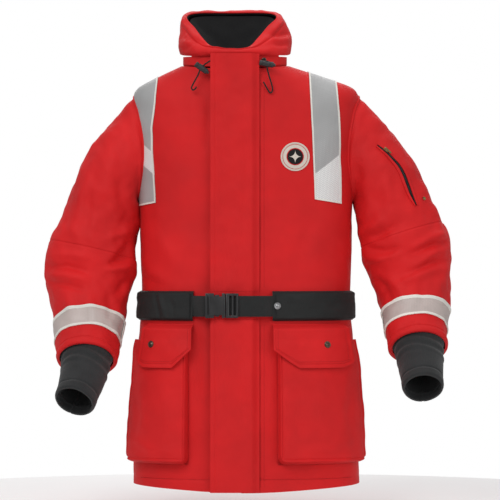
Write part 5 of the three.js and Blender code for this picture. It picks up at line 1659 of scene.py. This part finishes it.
def build_zip():
    """The main zip: two tapes, a row of teeth on each, a slider and its pull."""
    top, bottom = 2 * MM, 16 * MM - CLOSING_LENGTH
    for word, side in SIDES:
        x = sorted((side * 1.4 * MM, side * 14.4 * MM))
        tape = closing_slab(f"zip_{word}_tape", x, (-3.5 * MM, -2.2 * MM), (bottom, top), 10, 200)
        line = [closing_point(side * 2.0 * MM, -4.3 * MM, z) for z in np.linspace(top - 4 * MM, bottom + 4 * MM, 200)]
        teeth = along_lines(f"zip_{word}_teeth", [line], 2.9 * MM, mm(2.6, 1.9, 1.7), "plastic")
        settle(tape, "coat", "lining", (f"zip_tape_{word}",))
        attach(teeth, "coat")
    middle = box_middle("zip_slider")

    def place(points):
        c, s = math.cos(TILT), math.sin(TILT)
        x, y, z = points.T
        return middle + np.stack([x, y * c + z * s, -y * s + z * c], -1)

    base = rounded_block("zip_slider_base", mm(11.5, 2.8, 14), lambda p: place(p + (0, 1 * MM, 0)),
        1.1 * MM, ((mm(4, 1.2, 20), (0, 0, -6 * MM)),))
    bridge = rounded_block("zip_slider_bridge", mm(3.2, 2.6, 7), lambda p: place(p + (0, -1.6 * MM, 1 * MM)),
        0.8 * MM)
    settle(joined("zip_slider_body", [base, bridge]), "zip_slider", "bronze", ("zip_slider",))
    pull_shift = box_middle("zip_pull") - middle
    pull = rounded_block("zip_pull_tab", mm(4.2, 1.2, 26), lambda p: place(p) + pull_shift,
        0.5 * MM, ((mm(1.8, 4, 5), (0, 0, 9.5 * MM)), (mm(1.8, 4, 9), (0, 0, -6 * MM))))
    settle(pull, "zip_pull", "bronze", ("zip_pull",))


SLEEVE_ZIP = {"turn": 0.915, "run": (0.42, 1.85)}


def build_sleeve_zip():
    """A slanting zipped pocket on the right sleeve: welt lips, dark tape, black plastic teeth, a brass slider and a
    rivet below.
    """
    turn, (start, end) = SLEEVE_ZIP["turn"], SLEEVE_ZIP["run"]
    t = np.linspace(0, 1, 90)[:, None]

    def strip(name, low, high, lift, thick, finish, nodes=(), columns=7):
        s = np.linspace(low, high, columns)[None]
        gape = 0.35 + 0.65 * np.sin(np.pi * np.clip(t, 0.02, 0.98)) ** 0.7
        u = turn - (s * gape) * MM / 470e-3
        w = lerp(start, end, t) + 0 * s
        u, w = np.broadcast_arrays(u, w)
        piece = slab(name, *arm_skin("right", 1, u, w, lift + thick, lift))
        return settle(piece, "upper_sleeve_right", finish, nodes)

    strip("sleeve_zip_tape", -4.6, 4.6, 0.3 * MM, 0.9 * MM, "lining", ("sleeve_zip",))
    strip("sleeve_zip_lip_inner", 3.6, 9.0, 0.2 * MM, 2.3 * MM, "red")
    strip("sleeve_zip_lip_outer", -9.0, -3.6, 0.2 * MM, 2.3 * MM, "red")
    line = arm_skin("right", 1, np.full(80, turn), np.linspace(start + 0.04, end - 0.04, 80), 1.7 * MM)
    teeth = along_lines("sleeve_zip_teeth", [line], 2.6 * MM, mm(3.0, 1.2, 1.5), "plastic")
    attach(teeth, "upper_sleeve_right")
    seat = box_middle("sleeve_zip_slider")
    way = unit(line[12] - line[0])
    out = arm_normal("right", 1, np.array(turn), np.array(start + 0.12))
    side = np.cross(way, out)
    place = lambda p: seat + p[:, :1] * side + p[:, 1:2] * out + p[:, 2:] * way
    slider = rounded_block("sleeve_slider_base", mm(6.6, 2.4, 10), place, 0.8 * MM)
    tab = rounded_block("sleeve_slider_tab", mm(3.4, 1.0, 13), lambda p: place(p + (0, 1.9 * MM, 4.5 * MM)), 0.4 * MM)
    settle(joined("sleeve_slider_body", [slider, tab]), "sleeve_slider", "brass", ("sleeve_zip_slider",))
    out = arm_normal("right", 1, np.array(0.875), np.array(1.7))
    build_snap("sleeve_rivet_cap", box_middle("sleeve_rivet"), out, "upper_sleeve_right", "sleeve_rivet", 0.55, "brass")


# ---- cords ----
CORD_ROUTES = {
    "left": [(-61, -95, 9), (-62, -99.5, 9.6), (-65, -104, 8.4), (-70.5, -106.8, 4.2), (-77, -107.5, 0),
             (-83, -108, -6), (-87, -108, -12), (-90, -107, -20), (-95, -105.5, -29), (-100, -104, -38),
             (-102.5, -103.5, -44), (-100.5, -103.5, -48), (-96.5, -104.5, -47), (-93, -105.5, -42.5)],
    "right": [(34, -90, 9), (34.5, -94.5, 10.6), (35.6, -99.5, 10.6), (37, -102.4, 7.6), (38, -103, 3.5),
              (39, -103, -3), (40.5, -103, -10), (43, -103, -20), (46, -103, -30), (49, -103, -40),
              (50, -103.5, -48), (48, -104, -53), (44, -104.5, -52.5), (40, -105, -46), (36, -105.5, -39),
              (33, -106, -33)],
}
LOCKS = {"left": ((-84, -108, -7), (0.82, 0, -0.57)), "right": ((38.4, -103, 1), (0.98, 0, -0.17))}
CORD_DIAMETER = 2.8 * MM


def build_cords():
    for word in CORD_ROUTES:
        route = np.array(CORD_ROUTES[word], float) * MM
        line = catmull(route, np.linspace(0, len(route) - 1, 90), len(route) - 1)
        data = bpy.data.curves.new(f"hood_cord_{word}_line", "CURVE")
        data.dimensions = "3D"
        data.bevel_depth = CORD_DIAMETER / 2
        data.bevel_resolution = 4
        data.use_fill_caps = True
        spline = data.splines.new("POLY")
        spline.points.add(len(line) - 1)
        spline.points.foreach_set("co", np.concatenate([line, np.ones((len(line), 1))], 1).ravel())
        cord = bpy.data.objects.new(f"hood_cord_{word}_line", data)
        bpy.context.scene.collection.objects.link(cord)
        at, along = (np.array(part, float) for part in LOCKS[word])
        lock = build_lock(word, at * MM, unit(along))
        settle(cord, "coat", "cord", (f"hood_cord_{word}",))
        build_eyelet(word)


def build_lock(word, at, along):
    """A barrel cord lock with end ribs, and its spring plunger."""
    half = 13.5
    rows = [(2.6, -half), (4.6, -half), (5.3, -half + 0.7), (5.5, -half + 2), (5.5, -9), (5.0, -8.4), (5.0, -7.4),
        (5.5, -6.8), (5.5, 6), (5.0, 6.6), (5.0, 7.6), (5.5, 8.2), (5.5, 11.8), (5.2, half - 0.4), (4.3, half), (3.6,
        half - 0.2), (3.4, half - 11)]
    profile = [(r * MM, h * MM) for r, h in rows]
    barrel = turned(f"cord_lock_{word}_barrel", profile, at, along, 36)
    across = unit(np.cross(along, (0, 1.0, 0)))
    eye = turned(f"cord_lock_{word}_eye", [(1.6 * MM, 0), (3.4 * MM, 0), (3.9 * MM, 0.5 * MM), (3.4 * MM, 1.0 * MM),
        (1.7 * MM, 1.0 * MM), (1.5 * MM, 0.6 * MM)], at + across * 4.9 * MM, across, 24)
    lock = joined(f"cord_lock_{word}_barrel", [barrel, eye])
    settle(lock, "coat", "plastic", (f"cord_lock_{word}",))
    rows = [(3.0, -2.4), (3.0, 1.5), (2.6, 2.3), (1.8, 2.7), (0.3, 2.8)]
    plunger = turned(f"lock_plunger_{word}_tip", [(r * MM, h * MM) for r, h in rows],
        box_middle(f"lock_plunger_{word}"), along, 28)
    settle(plunger, f"plunger_{word}", "plastic", (f"lock_plunger_{word}",))
    return lock


def build_eyelet(word):
    out = np.array((0, -1.0, 0))
    rows = [(1.9, -1.0), (4.5, -1.0), (4.7, -0.3), (4.3, 0.5), (3.2, 0.9), (2.2, 0.6), (1.8, -0.2)]
    profile = [(r * MM, h * MM) for r, h in rows]
    eyelet = turned(f"eyelet_{word}_ring", profile, box_middle(f"eyelet_{word}"), out, 32)
    settle(eyelet, "coat", "bronze", (f"eyelet_{word}",))


# ---- stitching ----
def on_skin(points, lift):
    """Points (x, z) in metres laid on the coat's front."""
    points = np.asarray(points, float)
    angle = front_angle(points[:, 0], points[:, 1])
    return skin(angle, ring_number(angle, points[:, 1]), lift)


SEWN = SHELL + 0.1 * MM


def build_stitching(spacing, length):
    size = (0.55 * MM, 0.42 * MM, length)

    def sew(name, lines, body, finish="thread"):
        piece = along_lines(name, lines, spacing, size, finish)
        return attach(piece, body)

    lines = []
    for x in (FRONT_X + 51.5 * MM, FRONT_X + 58 * MM):
        lines.append(on_skin(np.stack([np.full(160, x), np.linspace(-0.03, -0.418, 160)], 1), SEWN))
        lines.append(on_skin(np.stack([np.full(120, x), np.linspace(-0.492, -0.792, 120)], 1), SEWN))
    for word, side in SIDES:
        limit = FRONT_X + side * 20 * MM, side * 0.196
        lines.append(on_skin(np.stack([np.linspace(*limit, 120), np.full(120, -0.7795)], 1), SEWN))
    sew("front_stitches", lines, "coat")
    angles = np.linspace(math.radians(95), math.radians(265), 260)
    hem = [skin_at(angles, np.full(260, z), SEWN) for z in (-0.7795,)]
    seam = [skin(np.full(200, math.radians(180)), np.linspace(0.3, 9.9, 200), SEWN)]
    seam += [skin(np.full(200, math.radians(180) + s * 0.02), np.linspace(0.3, 9.9, 200), SEWN) for s in (1,)]
    yoke = [skin_at(np.linspace(math.radians(112), math.radians(248), 200), np.full(200, z), SEWN) for z in (-0.176,
        -0.182)]
    sew("back_stitches", hem + seam + yoke, "coat")
    keepers = []
    for word, side in SIDES:
        inner = float(front_angle(KEEPERS[word][1] * MM, BELT_Z))
        outer = math.radians(KEEPERS[word][0])
        span = np.linspace(lerp(inner, outer, 0.02), lerp(inner, outer, 0.98), 120)
        for s in (1, -1):
            keepers.append(skin_at(span, np.full(120, BELT_Z + s * 24.5 * MM), KEEPER_OUT - 0.7 * MM))
        for near in (0.035, 0.05):
            at = lerp(inner, outer, near)
            heights = np.linspace(BELT_Z + 0.021, BELT_Z - 0.021, 30)
            keepers.append(skin_at(np.full(30, at), heights, KEEPER_OUT + 0.2 * MM))
    sew("keeper_stitches", keepers, "coat", "dark_thread")
    for word, side in SIDES:
        rows = []
        for inset in (0.048, 0.074):
            ends, foot = np.full(60, inset), 1 - inset * 1.9
            down, across = np.linspace(0.16, foot, 60), np.linspace(inset, 1 - inset, 140)
            rows += [flap_walls(side, ends, down)[0], flap_walls(side, 1 - ends, down)[0],
                flap_walls(side, across, np.full(140, foot))[0]]
        sew(f"pocket_flap_{word}_stitches", rows, f"pocket_flap_{word}")


# ---- studio ----
CAMERA_LENS = 225.5
CAMERA_AT = (7.6 * MM, -6.0, -0.3496)
FLOOR_Z = -0.845
FLOOR_RADIUS = 0.95
SKY_LIGHT = 0.42


def build_studio(floor_colour, key_power):
    """A round pale floor under a white sky, soft lights, and the camera."""
    turn, r = turns(96)[None], np.linspace(0.001, FLOOR_RADIUS, 24)[:, None]
    top = np.stack([r * np.cos(turn), r * np.sin(turn), np.full((24, 96), FLOOR_Z)], -1)
    floor = slab("studio_floor", top, top - np.array([0, 0, 0.003]), wrap=True)
    material, tree, shader, where = blank("studio_paper")
    wear = group_node(tree, "wear", where.outputs["Object"], Cloud_Scale=0.6, Grain_Scale=90.0)
    base = mix_colours(tree, wear.outputs["Cloud"], shade(floor_colour, 0.99), shade(floor_colour, 1.0))
    link(tree, base, shader.inputs["Base Color"])
    shader.inputs["Roughness"].default_value = 0.9
    shader.inputs["Specular IOR Level"].default_value = 0.1
    floor.data.materials.append(material)
    scene = bpy.context.scene
    world = bpy.data.worlds.new("studio_air")
    world.use_nodes = True
    sky = world.node_tree.nodes["Background"]
    sky.inputs["Color"].default_value = (1, 1, 1, 1)
    seen = world.node_tree.nodes.new("ShaderNodeLightPath").outputs["Is Camera Ray"]
    link(world.node_tree, map_range(world.node_tree, seen, 0, 1, SKY_LIGHT, 1.0), sky.inputs["Strength"])
    scene.world = world
    lights = (("key", (-1.6, -3.2, 2.2), 2.2, key_power), ("fill", (2.6, -3.4, 0.6), 2.6, key_power * 0.45),
        ("top", (0.2, 0.4, 2.6), 2.0, key_power * 0.35), ("back", (0.0, 2.9, 1.4), 2.6, key_power * 0.5))
    for name, at, size, power in lights:
        data = bpy.data.lights.new(f"studio_{name}", "AREA")
        data.size = size
        data.energy = power
        lamp = bpy.data.objects.new(f"studio_{name}", data)
        scene.collection.objects.link(lamp)
        lamp.location = at
        aim = Vector((0, 0, -0.38)) - Vector(at)
        lamp.rotation_euler = aim.to_track_quat("-Z", "Y").to_euler()
    scene.view_settings.view_transform = "Standard"
    camera = bpy.data.cameras.new("camera")
    camera.lens = CAMERA_LENS
    camera.sensor_width = 36
    camera.clip_end = 60
    holder = bpy.data.objects.new("camera", camera)
    holder.location = CAMERA_AT
    holder.rotation_euler = (math.pi / 2, 0, 0)
    scene.collection.objects.link(holder)
    scene.camera = holder


# ---- add-on ----
class JacketSettings(bpy.types.PropertyGroup):
    """Sizes and colours that a user of the jacket may change."""

    shell_colour: FloatVectorProperty(name="Shell Colour", description="Colour of the outer cloth", subtype="COLOR",
        size=3, min=0, max=1, default=(0.70, 0.010, 0.012))
    stitch_spacing: FloatProperty(name="Stitch Spacing", description="Distance from one stitch to the next",
        default=3.6 * MM, min=1 * MM, max=12 * MM, subtype="DISTANCE", unit="LENGTH")
    stitch_length: FloatProperty(name="Stitch Length", description="Length of one stitch", default=2.5 * MM,
        min=0.5 * MM, max=10 * MM, subtype="DISTANCE", unit="LENGTH")
    floor_colour: FloatVectorProperty(name="Floor Colour", description="Colour of the studio floor", subtype="COLOR",
        size=3, min=0, max=1, default=(0.93, 0.93, 0.93))
    key_power: FloatProperty(name="Key Light", description="Power of the main soft light in watts", default=72.0,
        min=1.0, max=2000.0)


def settings():
    return bpy.context.scene.jacket_settings


class Step:
    """One step of the build, run as an operator"""

    def execute(self, context):
        self.build()
        return {"FINISHED"}


class JACKET_OT_finishes(Step, bpy.types.Operator):
    """Make every cloth, plastic and metal finish"""

    bl_idname = "jacket.finishes"
    bl_label = "Finishes"

    def build(self):
        finish_materials(tuple(settings().shell_colour))


class JACKET_OT_studio(Step, bpy.types.Operator):
    """Set up the floor, the lights and the camera"""

    bl_idname = "jacket.studio"
    bl_label = "Studio"

    def build(self):
        build_studio(tuple(settings().floor_colour), settings().key_power)


class JACKET_OT_cords(Step, bpy.types.Operator):
    """Make the hood cords with their locks, plungers and eyelets"""

    bl_idname = "jacket.cords"
    bl_label = "Hood Cords"

    def build(self):
        build_cords()


class JACKET_OT_torso(Step, bpy.types.Operator):
    """Make the shell panels and the quilted lining of the body"""

    bl_idname = "jacket.torso"
    bl_label = "Body"

    def build(self):
        build_torso()


class JACKET_OT_hood(Step, bpy.types.Operator):
    """Make the collar, the rolled hood, its hanging bag and the hanger loop"""

    bl_idname = "jacket.hood"
    bl_label = "Collar and Hood"

    def build(self):
        build_hood()
        build_loop()


class JACKET_OT_closing(Step, bpy.types.Operator):
    """Make the storm flap and the main zip under it"""

    bl_idname = "jacket.closing"
    bl_label = "Front Closing"

    def build(self):
        build_storm_flap()
        build_zip()


class JACKET_OT_pockets(Step, bpy.types.Operator):
    """Make the bellows pockets with their flaps and snaps"""

    bl_idname = "jacket.pockets"
    bl_label = "Pockets"

    def build(self):
        build_pockets()


class JACKET_OT_belt(Step, bpy.types.Operator):
    """Make the belt, its keepers, its snap and the side-release buckle"""

    bl_idname = "jacket.belt"
    bl_label = "Belt"

    def build(self):
        build_belt()


class JACKET_OT_sleeves(Step, bpy.types.Operator):
    """Make the sleeves with their wrist bands, storm cuffs and the zipped sleeve pocket"""

    bl_idname = "jacket.sleeves"
    bl_label = "Sleeves"

    def build(self):
        build_sleeves()
        build_sleeve_zip()


class JACKET_OT_trim(Step, bpy.types.Operator):
    """Make the reflective shoulder tapes and the round badge"""

    bl_idname = "jacket.trim"
    bl_label = "Tapes and Badge"

    def build(self):
        build_shoulder_tapes()
        build_badge()


class JACKET_OT_stitching(Step, bpy.types.Operator):
    """Sew the seams with rows of stitches"""

    bl_idname = "jacket.stitching"
    bl_label = "Stitching"

    def build(self):
        build_stitching(settings().stitch_spacing, settings().stitch_length)


STEPS = (JACKET_OT_finishes, JACKET_OT_studio, JACKET_OT_cords, JACKET_OT_torso, JACKET_OT_hood, JACKET_OT_closing,
    JACKET_OT_pockets, JACKET_OT_belt, JACKET_OT_sleeves, JACKET_OT_trim, JACKET_OT_stitching)


class JACKET_PT_panel(bpy.types.Panel):
    """Lists the jacket's sizes and the steps that build it"""

    bl_label = "Foul Weather Jacket"
    bl_idname = "JACKET_PT_panel"
    bl_space_type = "VIEW_3D"
    bl_region_type = "UI"
    bl_category = "Jacket"

    def draw(self, context):
        for name in ("shell_colour", "stitch_spacing", "stitch_length", "floor_colour", "key_power"):
            self.layout.prop(settings(), name)
        for step in STEPS:
            self.layout.operator(step.bl_idname)


CLASSES = (JacketSettings, *STEPS, JACKET_PT_panel)


def register():
    for each in CLASSES:
        bpy.utils.register_class(each)
    bpy.types.Scene.jacket_settings = bpy.props.PointerProperty(type=JacketSettings)


def unregister():
    del bpy.types.Scene.jacket_settings
    for each in reversed(CLASSES):
        bpy.utils.unregister_class(each)


def main():
    register()
    for step in STEPS:
        group, name = step.bl_idname.split(".")
        getattr(getattr(bpy.ops, group), name)()


if __name__ == "__main__":
    main()
